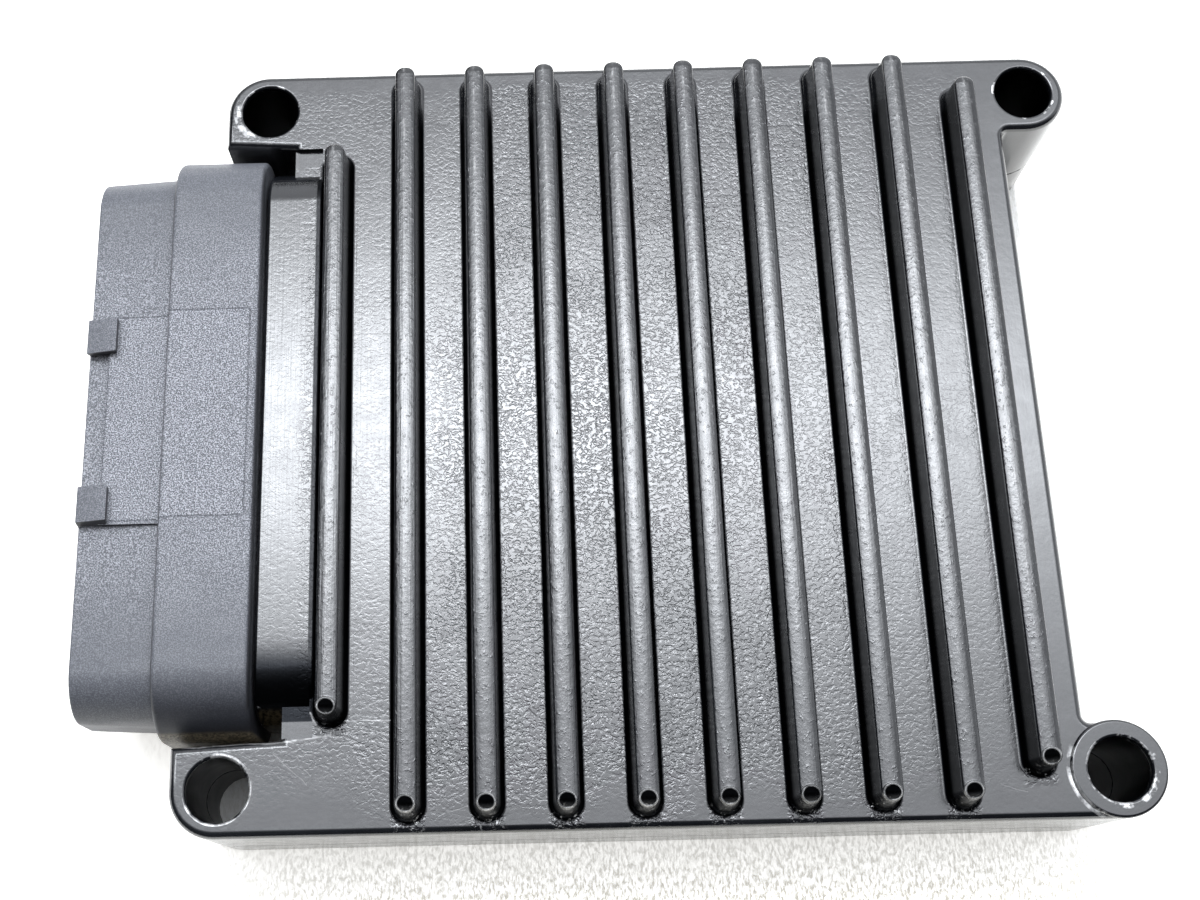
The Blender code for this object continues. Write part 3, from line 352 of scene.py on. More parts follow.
def box_block(low, high):
    bm = bmesh.new()
    size = Vector(high) - Vector(low)
    middle = (Vector(high) + Vector(low)) / 2
    bmesh.ops.create_cube(bm, size=1, matrix=Matrix.Translation(middle) @ Matrix.Diagonal((*size, 1)))
    return bm


def bar_block(centre, radius, low, high, segments=48):
    place = Matrix.Translation((*centre, 0))
    return turned([(radius, low), (radius, high)], (0, 0), segments, place)


def together(blocks):
    """One bmesh that holds several separate closed shapes."""
    whole = bmesh.new()
    for bm in blocks:
        carrier = bpy.data.meshes.new("carrier")
        bmesh.ops.recalc_face_normals(bm, faces=bm.faces)
        bm.to_mesh(carrier)
        bm.free()
        whole.from_mesh(carrier)
        bpy.data.meshes.remove(carrier)
    return whole


def joined(name, base, steps):
    """Adds and cuts closed shapes in turn and returns the mesh of the result."""
    target = own_object(name, base)
    tools = []
    for operation, bm in steps:
        tool = own_object("tool", bm)
        tools.append(tool)
        modifier = target.modifiers.new("step", "BOOLEAN")
        modifier.operation = operation
        modifier.solver = "EXACT"
        modifier.object = tool
    graph = bpy.context.evaluated_depsgraph_get()
    mesh = bpy.data.meshes.new_from_object(target.evaluated_get(graph))
    for old in tools + [target]:
        bpy.data.objects.remove(old)
    return mesh


def placed(name, mesh, material, nodes, angle=32):
    """Puts a finished mesh in the frame as the piece that stands for the named nodes."""
    mesh.name = name
    mesh.materials.clear()
    mesh.materials.append(material)
    mesh.shade_smooth()
    mesh.set_sharp_from_angle(angle=math.radians(angle))
    piece = bpy.data.objects.new(name, mesh)
    bpy.context.scene.collection.objects.link(piece)
    weighted = piece.modifiers.new("even_shading", "WEIGHTED_NORMAL")
    weighted.mode = "FACE_AREA_WITH_ANGLE"
    weighted.weight = 100
    weighted.keep_sharp = True
    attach(piece, "root")
    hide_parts(*nodes)
    return piece


def merged_copy(node):
    """A node's own mesh with its loose triangles joined and its flat faces whole."""
    bm = bmesh.new()
    bm.from_mesh(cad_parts[node].data)
    bmesh.ops.remove_doubles(bm, verts=bm.verts, dist=1e-6)
    bmesh.ops.dissolve_limit(bm, angle_limit=math.radians(0.5), verts=bm.verts, edges=bm.edges)
    bmesh.ops.recalc_face_normals(bm, faces=bm.faces)
    mesh = bpy.data.meshes.new(node)
    bm.to_mesh(mesh)
    bm.free()
    return mesh


def quarter(radius, steps=6):
    """A quarter round as pairs: how far in from the side, and how far in from the end."""
    turns = [math.radians(90) * step / steps for step in range(steps + 1)]
    return [(radius * (1 - math.cos(turn)), radius * (1 - math.sin(turn))) for turn in turns]


def fin_block(index):
    """One cooling fin: root fillet, drafted side, small edge round and a shallow crown."""
    foot = FIN_HALF_WIDTH + FIN_DRAFT
    profile = [(foot + FIN_ROOT_ROUND, FIN_ROOT_Z)]
    profile += [(foot + reach, rise - FIN_ROOT_SINK) for rise, reach in quarter(FIN_ROOT_ROUND, 8)]
    tilt = FIN_CROWN_TILT
    edge = (FIN_HALF_WIDTH - FIN_CROWN_HALF) / (1 - math.sin(tilt))
    bow = FIN_CROWN_HALF / math.sin(tilt)
    top = FIN_TOP_Z - DECK_Z
    centre = top - bow * (1 - math.cos(tilt)) - edge * math.cos(tilt)
    for step in range(6):
        turn = FIN_EDGE_TURN - (FIN_EDGE_TURN - tilt) * step / 5
        profile.append((FIN_HALF_WIDTH - edge + edge * math.sin(turn), centre + edge * math.cos(turn)))
    for step in range(1, 9):
        turn = tilt * (1 - step / 8.5)
        profile.append((bow * math.sin(turn), top - bow * (1 - math.cos(turn))))
    straight = FIN_HALF_LENGTHS[index] - FIN_HALF_WIDTH
    bm = turned(profile, (0, straight), 32)
    for vert in bm.verts:
        along = min(1.0, max(0.0, (abs(vert.co.y) - straight) / FIN_HALF_WIDTH))
        upper = min(1.0, max(0.0, (vert.co.z - FIN_ROOT_ROUND) / (top - FIN_ROOT_ROUND)))
        drop = FIN_NOSE if vert.co.y < 0 else FIN_NOSE / 4
        vert.co.z -= drop * (1 - math.sqrt(1 - along**2)) * upper**2
    x = (index - (FIN_COUNT - 1) / 2) * FIN_PITCH
    bmesh.ops.translate(bm, vec=(x, 0, DECK_Z), verts=bm.verts)
    return bm


def duct_block(low, high):
    """The stretch of the duct that grips the header between two heights."""
    corner = quarter(DUCT_ROUND)
    front = [(DUCT_RADIUS - side, DUCT_SPAN[0] + depth) for side, depth in reversed(corner)]
    back = [(DUCT_RADIUS - side, DUCT_SPAN[1] - depth) for side, depth in corner]
    bm = header_block(front + back)
    for height, normal in ((low, -1), (high, 1)):
        everything = list(bm.verts) + list(bm.edges) + list(bm.faces)
        bmesh.ops.bisect_plane(
            bm, geom=everything, plane_co=(0, 0, height), plane_no=(0, 0, normal), clear_outer=True
        )
        bmesh.ops.holes_fill(bm, edges=bm.edges, sides=0)
    return bm


def bore_block(index):
    """One mounting bore with its rounded mouth, as a shape to cut."""
    lip = BORE_LIP
    mouth = DECK_Z + (PAD_HEIGHT if index == 0 else 0)
    profile = [(BORE_RADIUS, HOUSING_BOTTOM_Z - OVERCUT), (BORE_RADIUS, mouth - lip)]
    for step in range(1, 5):
        turn = math.radians(90) * step / 4
        profile.append((BORE_RADIUS + lip * (1 - math.cos(turn)), mouth - lip + lip * math.sin(turn)))
    profile.append((BORE_RADIUS + lip, mouth + OVERCUT))
    return turned(profile, (0, 0), 64, Matrix.Translation((*BORES[index], 0)))


def bars(places, radius, low, high):
    """Equal upright round bars at several places."""
    return [bar_block(place, radius, low, high, 24) for place in places]


def upper_housing_mesh():
    """The finned casting: shell, fins, seat, duct, cavity, posts, bosses and every bore."""
    shell = body_block(HOUSING_BOTTOM_Z, DECK_Z, DECK_Z, DECK_ROUND)
    shelf = box_block((BORES[3][0], -SHELF_HALF_Y, SHELF_Z), (SHELF_RIGHT_X, SHELF_HALF_Y, DECK_Z + OVERCUT))
    fins = together([fin_block(index) for index in range(FIN_COUNT)])
    pad = bar_block(PAD_CENTRE, PAD_RADIUS, DECK_Z - DECK_ROUND - SINK, DECK_Z + PAD_HEIGHT, 64)
    rounded(pad, rim_edges(pad, DECK_Z + PAD_HEIGHT), PAD_HEIGHT, 4)
    duct = duct_block(HOUSING_BOTTOM_Z, DECK_Z + OVERCUT * 5)
    corners = [(x * CAVITY_HALF_X, y * CAVITY_HALF_Y) for x, y in ((-1, -1), (1, -1), (1, 1), (-1, 1))]
    cavity = raised_plan(corners, HOUSING_BOTTOM_Z - OVERCUT, CEILING_Z)
    rounded(cavity, upright_edges(cavity), CAVITY_ROUND, 6)
    low = HOUSING_BOTTOM_Z
    high = CEILING_Z + SINK
    posts = bars(BOARD_POSTS, BOARD_POST_RADIUS, low, high)
    posts += bars(COVER_BOSSES, COVER_BOSS_RADIUS, low, high)
    pedestal = (PEDESTAL_X[0], -PEDESTAL_HALF_Y, PEDESTAL_FOOT_Z)
    posts.append(box_block(pedestal, (PEDESTAL_X[1], PEDESTAL_HALF_Y, high)))
    low -= OVERCUT
    holes = [bore_block(index) for index in range(4)]
    holes += bars(BOARD_POSTS, BOARD_HOLE_RADIUS, low, BOARD_HOLE_TOP_Z)
    holes += bars(COVER_BOSSES, COVER_HOLE_RADIUS, low, COVER_HOLE_TOP_Z)
    return joined(
        "upper_housing",
        shell,
        [
            ("DIFFERENCE", shelf),
            ("UNION", fins),
            ("UNION", pad),
            ("UNION", duct),
            ("DIFFERENCE", cavity),
            ("UNION", together(posts)),
            ("DIFFERENCE", header_block(DUCT_BORE)),
            ("DIFFERENCE", together(holes)),
        ],
    )


def latch_block(middle_y, lean):
    """A wedge that rises from the mouth to a steep back face and leans a little to one side."""
    foot_z = CROWN_Z - SHROUD_DRAFT - SINK
    low = Vector((SHROUD_MOUTH_X, middle_y - LATCH_HALF_WIDTH, foot_z))
    high = Vector((SHROUD_MOUTH_X + LATCH_LENGTH, middle_y + LATCH_HALF_WIDTH, CROWN_Z + LATCH_HEIGHT))
    bm = box_block(low, high)
    for vert in bm.verts:
        if vert.co.z > CROWN_Z and vert.co.x < (low.x + high.x) / 2:
            vert.co.z = CROWN_Z + LATCH_HEIGHT * LATCH_FRONT_SHARE
        if vert.co.z > CROWN_Z:
            vert.co.x += LATCH_LEAN if vert.co.x > (low.x + high.x) / 2 else 0
            vert.co.y += lean * LATCH_LEAN
    long_edges = [edge for edge in bm.edges if edge.calc_length() > 0.0005]
    rounded(bm, long_edges, LATCH_ROUND, 2)
    return bm


def header_mesh():
    """The moulded header: neck, collar, tapered shroud, pad, latch ramps and slots for the pins."""
    mouth = SHROUD_RADIUS - SHROUD_DRAFT
    inner = mouth - SHROUD_WALL
    corner = quarter(COLLAR_ROUND)
    lip = quarter(COLLAR_ROUND / 2)
    profile = list(NECK)
    profile += [(COLLAR_RADIUS - side, COLLAR_BACK_X - depth) for side, depth in reversed(corner)]
    profile += [(COLLAR_RADIUS - side, COLLAR_FRONT_X + depth) for side, depth in corner]
    profile.append((SHROUD_RADIUS, COLLAR_FRONT_X))
    profile += [(mouth - side, SHROUD_MOUTH_X + depth) for side, depth in lip]
    profile += [(inner + side, SHROUD_MOUTH_X + depth) for side, depth in reversed(lip)]
    profile.append((inner, SOCKET_FLOOR_X))
    pad = box_block(
        (COLLAR_FRONT_X - BARE_PAD_REACH, LATCH_MIDDLE_Y - BARE_PAD_HALF_Y, CROWN_Z - SHROUD_DRAFT - SINK),
        (COLLAR_FRONT_X + SINK, LATCH_MIDDLE_Y + BARE_PAD_HALF_Y, CROWN_Z + BARE_PAD_HEIGHT),
    )
    latches = [latch_block(LATCH_MIDDLE_Y + side * LATCH_OFF_MIDDLE, -side) for side in (-1, 1)]
    slots = []
    for row in (-1, 0, 1):
        for column in range(PIN_COLUMNS):
            y = (column - (PIN_COLUMNS - 1) / 2) * PIN_PITCH_Y
            z = HEADER_Z + row * PIN_PITCH_Z
            low = (PIN_SLOT_X[0], y - PIN_SLOT_HALF, z - PIN_SLOT_HALF)
            slots.append(box_block(low, (PIN_SLOT_X[1], y + PIN_SLOT_HALF, z + PIN_SLOT_HALF)))
    return joined(
        "header_body",
        header_block(profile),
        [("UNION", pad), ("UNION", together(latches)), ("DIFFERENCE", together(slots))],
    )


def wire(tree, kind, sockets=None, **settings):
    """Adds a shader node; each socket takes a constant or another node's output."""
    node = tree.nodes.new(kind)
    for name, value in settings.items():
        setattr(node, name, value)
    for key, value in (sockets or {}).items():
        if isinstance(value, bpy.types.NodeSocket):
            tree.links.new(value, node.inputs[key])
        else:
            node.inputs[key].default_value = value
    return node


def sums(tree, operation, first, second=0.0, clamp=False):
    """One step of arithmetic on values or outputs."""
    sockets = {0: first, 1: second}
    return wire(tree, "ShaderNodeMath", sockets, operation=operation, use_clamp=clamp).outputs[0]


def chained(tree, operation, values):
    result = values[0]
    for value in values[1:]:
        result = sums(tree, operation, result, value)
    return result


def product(tree, *factors):
    return chained(tree, "MULTIPLY", factors)


def total(tree, *terms):
    return chained(tree, "ADD", terms)


def largest(tree, *values):
    return chained(tree, "MAXIMUM", values)


def less(tree, first, second):
    """The first less the second."""
    return sums(tree, "SUBTRACT", first, second)


def outside(tree, mask):
    """The rest of a mask: 1 where it is 0."""
    return less(tree, 1.0, mask)


def apart(tree, value, middle=0.0):
    """How far a value is from the middle, on either side."""
    return sums(tree, "ABSOLUTE", less(tree, value, middle))


def axes(tree, vector):
    """The x, y and z of a vector."""
    return tuple(wire(tree, "ShaderNodeSeparateXYZ", {0: vector}).outputs)


def vectors(tree, operation, first, second=(0.0, 0.0, 0.0), output="Vector"):
    """One step of vector arithmetic."""
    sockets = {0: first, 1: second}
    return wire(tree, "ShaderNodeVectorMath", sockets, operation=operation).outputs[output]


def ramp(tree, value, low, high, start=0.0, end=1.0):
    """Maps a value smoothly from one range to another."""
    sockets = {"Value": value, "From Min": low, "From Max": high, "To Min": start, "To Max": end}
    return wire(tree, "ShaderNodeMapRange", sockets, interpolation_type="SMOOTHSTEP").outputs[0]


def fade(tree, value, low, high):
    """1 below a range and 0 past it."""
    return ramp(tree, value, low, high, 1.0, 0.0)


def noise(tree, vector, scale, detail=2.0, roughness=0.5, distortion=0.0):
    sockets = {
        "Vector": vector,
        "Scale": scale,
        "Detail": detail,
        "Roughness": roughness,
        "Distortion": distortion,
    }
    return wire(tree, "ShaderNodeTexNoise", sockets).outputs["Fac"]


def stretched(tree, vector, scale):
    return wire(tree, "ShaderNodeMapping", {"Vector": vector, "Scale": scale}).outputs[0]


def bell(tree, value, middle, width, power=2.0):
    """A smooth hump: 1 at the middle, falling to nothing."""
    off = sums(tree, "ABSOLUTE", sums(tree, "DIVIDE", less(tree, value, middle), width))
    return sums(tree, "EXPONENT", product(tree, sums(tree, "POWER", off, power), -1.0))


def new_group(name, given, made):
    """A shader node group: its inputs with their defaults, None for a vector, and its outputs."""
    group = bpy.data.node_groups.new(name, "ShaderNodeTree")
    for label, default in given.items():
        kind = "NodeSocketVector" if default is None else "NodeSocketFloat"
        socket = group.interface.new_socket(name=label, in_out="INPUT", socket_type=kind)
        if default is not None:
            socket.default_value = default
    for label in made:
        group.interface.new_socket(name=label, in_out="OUTPUT", socket_type="NodeSocketFloat")
    entry = group.nodes.new("NodeGroupInput")
    result = group.nodes.new("NodeGroupOutput")
    return group, entry.outputs, result.inputs


def cast_skin_group():
    """Wrinkles of a cast and painted floor: short ridges that come and go in patches."""
    inputs = {"Vector": None, "Ridges per Metre": 1700.0, "Patches per Metre": 75.0}
    group, given, made = new_group("Cast skin", inputs, ("Height",))
    across = stretched(group, given["Vector"], (0.88, 1.12, 1.0))
    ridges = noise(group, across, given["Ridges per Metre"], 2.0, 0.55, 0.5)
    patch = noise(group, given["Vector"], given["Patches per Metre"], 2.0, 0.6)
    amount = ramp(group, patch, 0.36, 0.64, 0.62, 1.0)
    centred = ramp(group, ridges, 0.36, 0.56, -0.085, 0.085)
    group.links.new(product(group, centred, amount), made["Height"])
    return group


def bore_wear_group():
    """Bare metal along an arc round the mouth of one mounting bore, broken up by a noise."""
    inputs = {"Vector": None, "Centre": None, "Radius": 0.0045, "Width": 0.0004, "Chips": 0.5}
    inputs.update({"Break Up": 0.5, "Side": None, "Spread": 0.0})
    group, given, made = new_group("Bore wear", inputs, ("Mask", "Shaft"))
    flat = vectors(group, "MULTIPLY", given["Vector"], (1.0, 1.0, 0.0))
    off = vectors(group, "SUBTRACT", flat, given["Centre"])
    reach = vectors(group, "LENGTH", off, output="Value")
    facing = vectors(group, "DOT_PRODUCT", vectors(group, "NORMALIZE", off), given["Side"], "Value")
    aimed = sums(group, "DIVIDE", less(group, facing, given["Spread"]), 0.15, True)
    astray = apart(group, reach, given["Radius"])
    near = sums(group, "SUBTRACT", 1.0, sums(group, "DIVIDE", astray, given["Width"]), True)
    chips = ramp(group, given["Chips"], given["Break Up"], 0.60)
    mask = product(group, sums(group, "POWER", near, 0.5), chips, aimed)
    group.links.new(mask, made["Mask"])
    shaft = fade(group, reach, BORE_RADIUS + 0.0001, BORE_RADIUS + 0.0002)
    group.links.new(shaft, made["Shaft"])
    return group


def streak_group():
    """A mark from one point of the deck to another."""
    inputs = {"Vector": None, "From": None, "To": None, "Width": 0.0002}
    group, given, made = new_group("Deck streak", inputs, ("Mask",))
    off = vectors(group, "SUBTRACT", given["Vector"], given["From"])
    along = vectors(group, "SUBTRACT", given["To"], given["From"])
    whole = vectors(group, "DOT_PRODUCT", along, along, "Value")
    share = sums(group, "DIVIDE", vectors(group, "DOT_PRODUCT", off, along, "Value"), whole, True)
    foot = wire(group, "ShaderNodeVectorMath", {0: along, "Scale": share}, operation="SCALE").outputs[0]
    reach = vectors(group, "DISTANCE", off, foot, "Value")
    mask = sums(group, "SUBTRACT", 1.0, sums(group, "DIVIDE", reach, given["Width"]), True)
    group.links.new(mask, made["Mask"])
    return group


def fin_end_group():
    """The mark at each fin's near end, a tilted dish with a raised rim, and the fins' middle line; the rim
    and the middle line also carry painted highlights, the dish painted shade.
    """
    labels = ("Height", "Rim Highlight", "Dish Shade", "Cleared", "Rough", "Crest Highlight")
    group, given, made = new_group("Fin end", {"Vector": None}, labels)
    x, y, _ = axes(group, given["Vector"])
    shifted = total(group, x, FIN_PITCH * FIN_COUNT / 2)
    across = less(group, sums(group, "FLOORED_MODULO", shifted, FIN_PITCH), FIN_PITCH / 2)
    usual = FIN_HALF_LENGTHS[1]
    first = ramp(group, x, -0.0401, -0.0399, FIN_HALF_LENGTHS[0] - usual, 0.0)
    last = ramp(group, x, 0.0399, 0.0401, 0.0, FIN_HALF_LENGTHS[-1] - usual)
    end = total(group, first, last, usual - 0.0012)
    past = less(group, product(group, y, -1.0), end)
    squares = total(group, product(group, across, across), product(group, past, past, 1.3))
    reach = sums(group, "SQRT", squares)
    rim = bell(group, reach, 0.00112, 0.00011)
    dish = fade(group, reach, 0.00094, 0.00106)
    below = product(
        group,
        bell(group, past, 0.0018, 0.0011, 4.0),
        bell(group, apart(group, across), 0.0010, 0.0010, 4.0),
    )
    results = (
        less(group, product(group, rim, 0.00016), product(group, dish, past, 0.34)),
        rim,
        dish,
        fade(group, reach, 0.00115, 0.00130),
        below,
        bell(group, across, -0.00015, 0.00018),
    )
    for label, result in zip(labels, results):
        group.links.new(result, made[label])
    return group


def new_material(name):
    material = bpy.data.materials.new(name)
    material.use_nodes = True
    tree = material.node_tree
    shader = tree.nodes["Principled BSDF"]
    place = tree.nodes.new("ShaderNodeTexCoord").outputs["Object"]
    return material, tree, shader, place


def mixed(tree, factor, first, second):
    """Mixes two colours by a mask."""
    sockets = {"Factor": factor}
    for key, tone in ((6, first), (7, second)):
        sockets[key] = tone if isinstance(tone, bpy.types.NodeSocket) else (*tone[:3], 1.0)
    return wire(tree, "ShaderNodeMix", sockets, data_type="RGBA").outputs[2]


def grouped(tree, group, sockets):
    return wire(tree, "ShaderNodeGroup", sockets, node_tree=group).outputs


def bumped(tree, shader, height, distance):
    bump = wire(tree, "ShaderNodeBump", {"Height": height, "Strength": 1.0, "Distance": distance})
    tree.links.new(bump.outputs[0], shader.inputs["Normal"])


def wrinkled_area(tree, x, y, swell):
    """Mask of the floor between the fins where the casting is wrinkled."""
    ragged = total(tree, y, product(tree, swell, 0.014))
    leaning = total(tree, x, product(tree, y, -0.10))
    area = product(
        tree,
        ramp(tree, ragged, -0.0470, -0.0385, 0.05, 1.0),
        ramp(tree, y, 0.0500, 0.0530, 1.0, 0.1),
        ramp(tree, leaning, -0.0370, -0.0250, 0.24, 1.0),
        ramp(tree, x, 0.0000, 0.0430, 1.0, 0.22),
        ramp(tree, x, 0.0470, 0.0478, 1.0, 0.05),
    )
    corner = product(tree, bell(tree, x, -0.0400, 0.0042), bell(tree, y, -0.0432, 0.0035), 0.6)
    return largest(tree, area, corner)


def worn_metal_and_highlights(tree, place, ends, crown, beads):
    """Masks of the bare metal where the paint is worn, of the highlights painted in that colour, and of the
    shafts of the bores.
    """
    _, y, z = axes(tree, place)
    chips = noise(tree, place, 420.0, 3.0, 0.65)
    sockets = {"Vector": place, "Scale": 450.0, "Detail": 1.0}
    waver = wire(tree, "ShaderNodeTexNoise", sockets).outputs["Color"]
    waver = vectors(tree, "SUBTRACT", waver, (0.5, 0.5, 0.5))
    waver = vectors(tree, "MULTIPLY", waver, (0.0006, 0.0006, 0.0))
    wavered = vectors(tree, "ADD", vectors(tree, "MULTIPLY", place, (1.0, 1.0, 0.0)), waver)
    # Painted highlight: the raised rims at the fins' near ends, in the bare metal colour
    rim_highlights = product(tree, ends["Rim Highlight"], ramp(tree, chips, 0.36, 0.60, 0.15, 1.0))
    # Painted highlight: a broken bright line down the middle of each fin's crown, in the bare metal colour
    crest_highlight = product(
        tree,
        ends["Crest Highlight"],
        crown,
        ramp(tree, chips, 0.40, 0.62, 0.05, 1.0),
        ramp(tree, beads, 0.40, 0.60, 0.35, 1.0),
        ramp(tree, y, -0.0420, -0.0100, 0.06, 0.24),
        outside(tree, ends["Cleared"]),
    )
    bare_and_highlights = largest(tree, rim_highlights, crest_highlight)
    shaft = 0.0
    wear = bore_wear_group()
    for centre, radius, width, gaps, side, spread in WORN_ARCS:
        sockets = {"Vector": place, "Centre": (*centre, 0.0), "Radius": radius, "Width": width}
        sockets.update({"Chips": chips, "Break Up": gaps, "Side": (*side, 0.0), "Spread": spread})
        made = grouped(tree, wear, sockets)
        bare_and_highlights = largest(tree, bare_and_highlights, made["Mask"])
        shaft = largest(tree, made["Shaft"], shaft)
    streak = streak_group()
    worn = ramp(tree, chips, 0.36, 0.52, 0.25, 1.0)
    # Flash ridges as lines of painted highlight, and real scratches, in the bare metal colour
    for marks, strength, chipped in ((FLASH_HIGHLIGHTS, 0.50, worn), (SCRATCHES, 0.13, 1.0)):
        for start, stop, width in marks:
            sockets = {"Vector": wavered, "From": (*start, 0.0), "To": (*stop, 0.0), "Width": width}
            mask = grouped(tree, streak, sockets)["Mask"]
            bare_and_highlights = largest(tree, bare_and_highlights, product(tree, mask, chipped, strength))
    # Painted glints in the bare metal colour on the rough patch below each fin's near end
    glints = product(tree, ramp(tree, beads, 0.60, 0.68), ends["Rough"], 0.7)
    top = ramp(tree, z, DECK_Z - 0.0010, DECK_Z - 0.0003)
    return product(tree, largest(tree, bare_and_highlights, glints), top), shaft


def shaded_sides(tree, place, ends, crown, duct, shaft):
    """Mask of painted shade on the fin sides, the dishes, the duct's near end and the bores, which show next
    to no light.
    """
    x, y, z = axes(tree, place)
    fin_side_shade = product(
        tree,
        ramp(tree, z, DECK_Z + 0.00002, DECK_Z + 0.00012),
        fade(tree, crown, 0.0, 0.6),
        fade(tree, apart(tree, x), 0.0478, 0.0480),
        fade(tree, y, 0.0450, 0.0490),
        outside(tree, ends["Cleared"]),
        ramp(tree, z, DECK_Z + 0.0010, DECK_Z + 0.0018, 1.0, 0.72),
    )
    duct_end_shade = product(
        tree,
        duct,
        ramp(tree, y, -0.0403, -0.0401),
        ramp(tree, y, -0.0338, -0.0282, 0.95, 0.0),
    )
    bore_shaft_shade = product(tree, shaft, fade(tree, z, DECK_Z - 0.0012, DECK_Z - 0.0006))
    return largest(tree, fin_side_shade, product(tree, ends["Dish Shade"], 0.95), duct_end_shade, bore_shaft_shade)


def paint_material(look):
    """Gloss black paint over a casting, wrinkled on the deck, drawn on the duct and worn at the bores, with
    highlights painted in the bare metal colour and shade painted on the fin sides.
    """
    material, tree, shader, place = new_material("black_paint_finish")
    x, y, z = axes(tree, place)
    deck = product(
        tree,
        ramp(tree, z, DECK_Z - 0.0007, DECK_Z - 0.0004),
        fade(tree, z, DECK_Z + 0.00003, DECK_Z + 0.00015),
    )
    crown = ramp(tree, z, FIN_TOP_Z - 0.0009, FIN_TOP_Z - 0.0005)
    duct = fade(tree, x, DUCT_SPAN[1] - 0.0002, DUCT_SPAN[1] + 0.0002)
    boss = fade(tree, apart(tree, y), 0.0395, 0.0400)
    ends = grouped(tree, fin_end_group(), {"Vector": place})
    ridges = grouped(tree, cast_skin_group(), {"Vector": place})["Height"]
    swell = noise(tree, place, 160.0, 2.0, 0.5)
    beads = noise(tree, stretched(tree, place, (1.0, 0.8, 1.0)), 1700.0, 2.0, 0.6)
    lines = noise(tree, stretched(tree, place, (3000.0, 50.0, 50.0)), 1.0, 3.0, 0.6)

    # Relief of the skin, as pairs of a pattern and its share
    height = product(tree, ridges, deck, wrinkled_area(tree, x, y, swell), 0.88)
    for part, weight in (
        (product(tree, beads, crown), 0.10),
        (product(tree, ramp(tree, beads, 0.60, 0.70), crown), 0.06),
        (product(tree, lines, crown), 0.10),
        (product(tree, ridges, duct, boss), ramp(tree, x, -0.0505, -0.0478, 0.14, 0.60)),
        (lines, ramp(tree, x, -0.0380, -0.0300, 0.15, 0.02)),
        (beads, 0.035),
        (product(tree, swell, deck), 0.12),
        (ends["Height"], 1.0 / look.wrinkle_height),
        (product(tree, ridges, ends["Rough"]), 2.2),
    ):
        height = total(tree, height, product(tree, part, weight))
    bumped(tree, shader, height, look.wrinkle_height)

    # Colour: hazy paint, dirt in the notch beside the header, bare metal where worn, and painted highlights
    # in that colour
    bare_and_highlights, shaft = worn_metal_and_highlights(tree, place, ends, crown, beads)
    haze = ramp(tree, noise(tree, place, 60.0, 4.0, 0.6), 0.40, 0.70)
    coat = mixed(tree, haze, look.paint, look.paint_haze)
    soiled = product(
        tree,
        bell(tree, x, -0.0560, 0.0075, 6.0),
        bell(tree, y, -0.0408, 0.0026, 6.0),
        fade(tree, z, DECK_Z - 0.0014, DECK_Z - 0.0008),
    )
    coat = mixed(tree, soiled, coat, mixed(tree, ramp(tree, beads, 0.30, 0.72), look.grit_dark, look.grit))
    tree.links.new(mixed(tree, bare_and_highlights, coat, look.bare_metal_and_highlight), shader.inputs["Base Color"])

    # Painted shade: a metal as dark as the paint reflects less than the paint does, which keeps the fin
    # sides, dishes, duct's near end and bore shafts black
    shaded = shaded_sides(tree, place, ends, crown, duct, shaft)
    tree.links.new(largest(tree, bare_and_highlights, shaded), shader.inputs["Metallic"])
    gloss = ramp(tree, noise(tree, place, 380.0, 2.0, 0.6), 0.3, 0.7, look.gloss - 0.02, look.gloss + 0.03)
    dull = total(tree, product(tree, bare_and_highlights, 0.15), product(tree, crown, 0.02), product(tree, shaded, 0.16))
    tree.links.new(total(tree, gloss, dull), shader.inputs["Roughness"])
    shader.inputs["IOR"].default_value = look.paint_ior
    return material


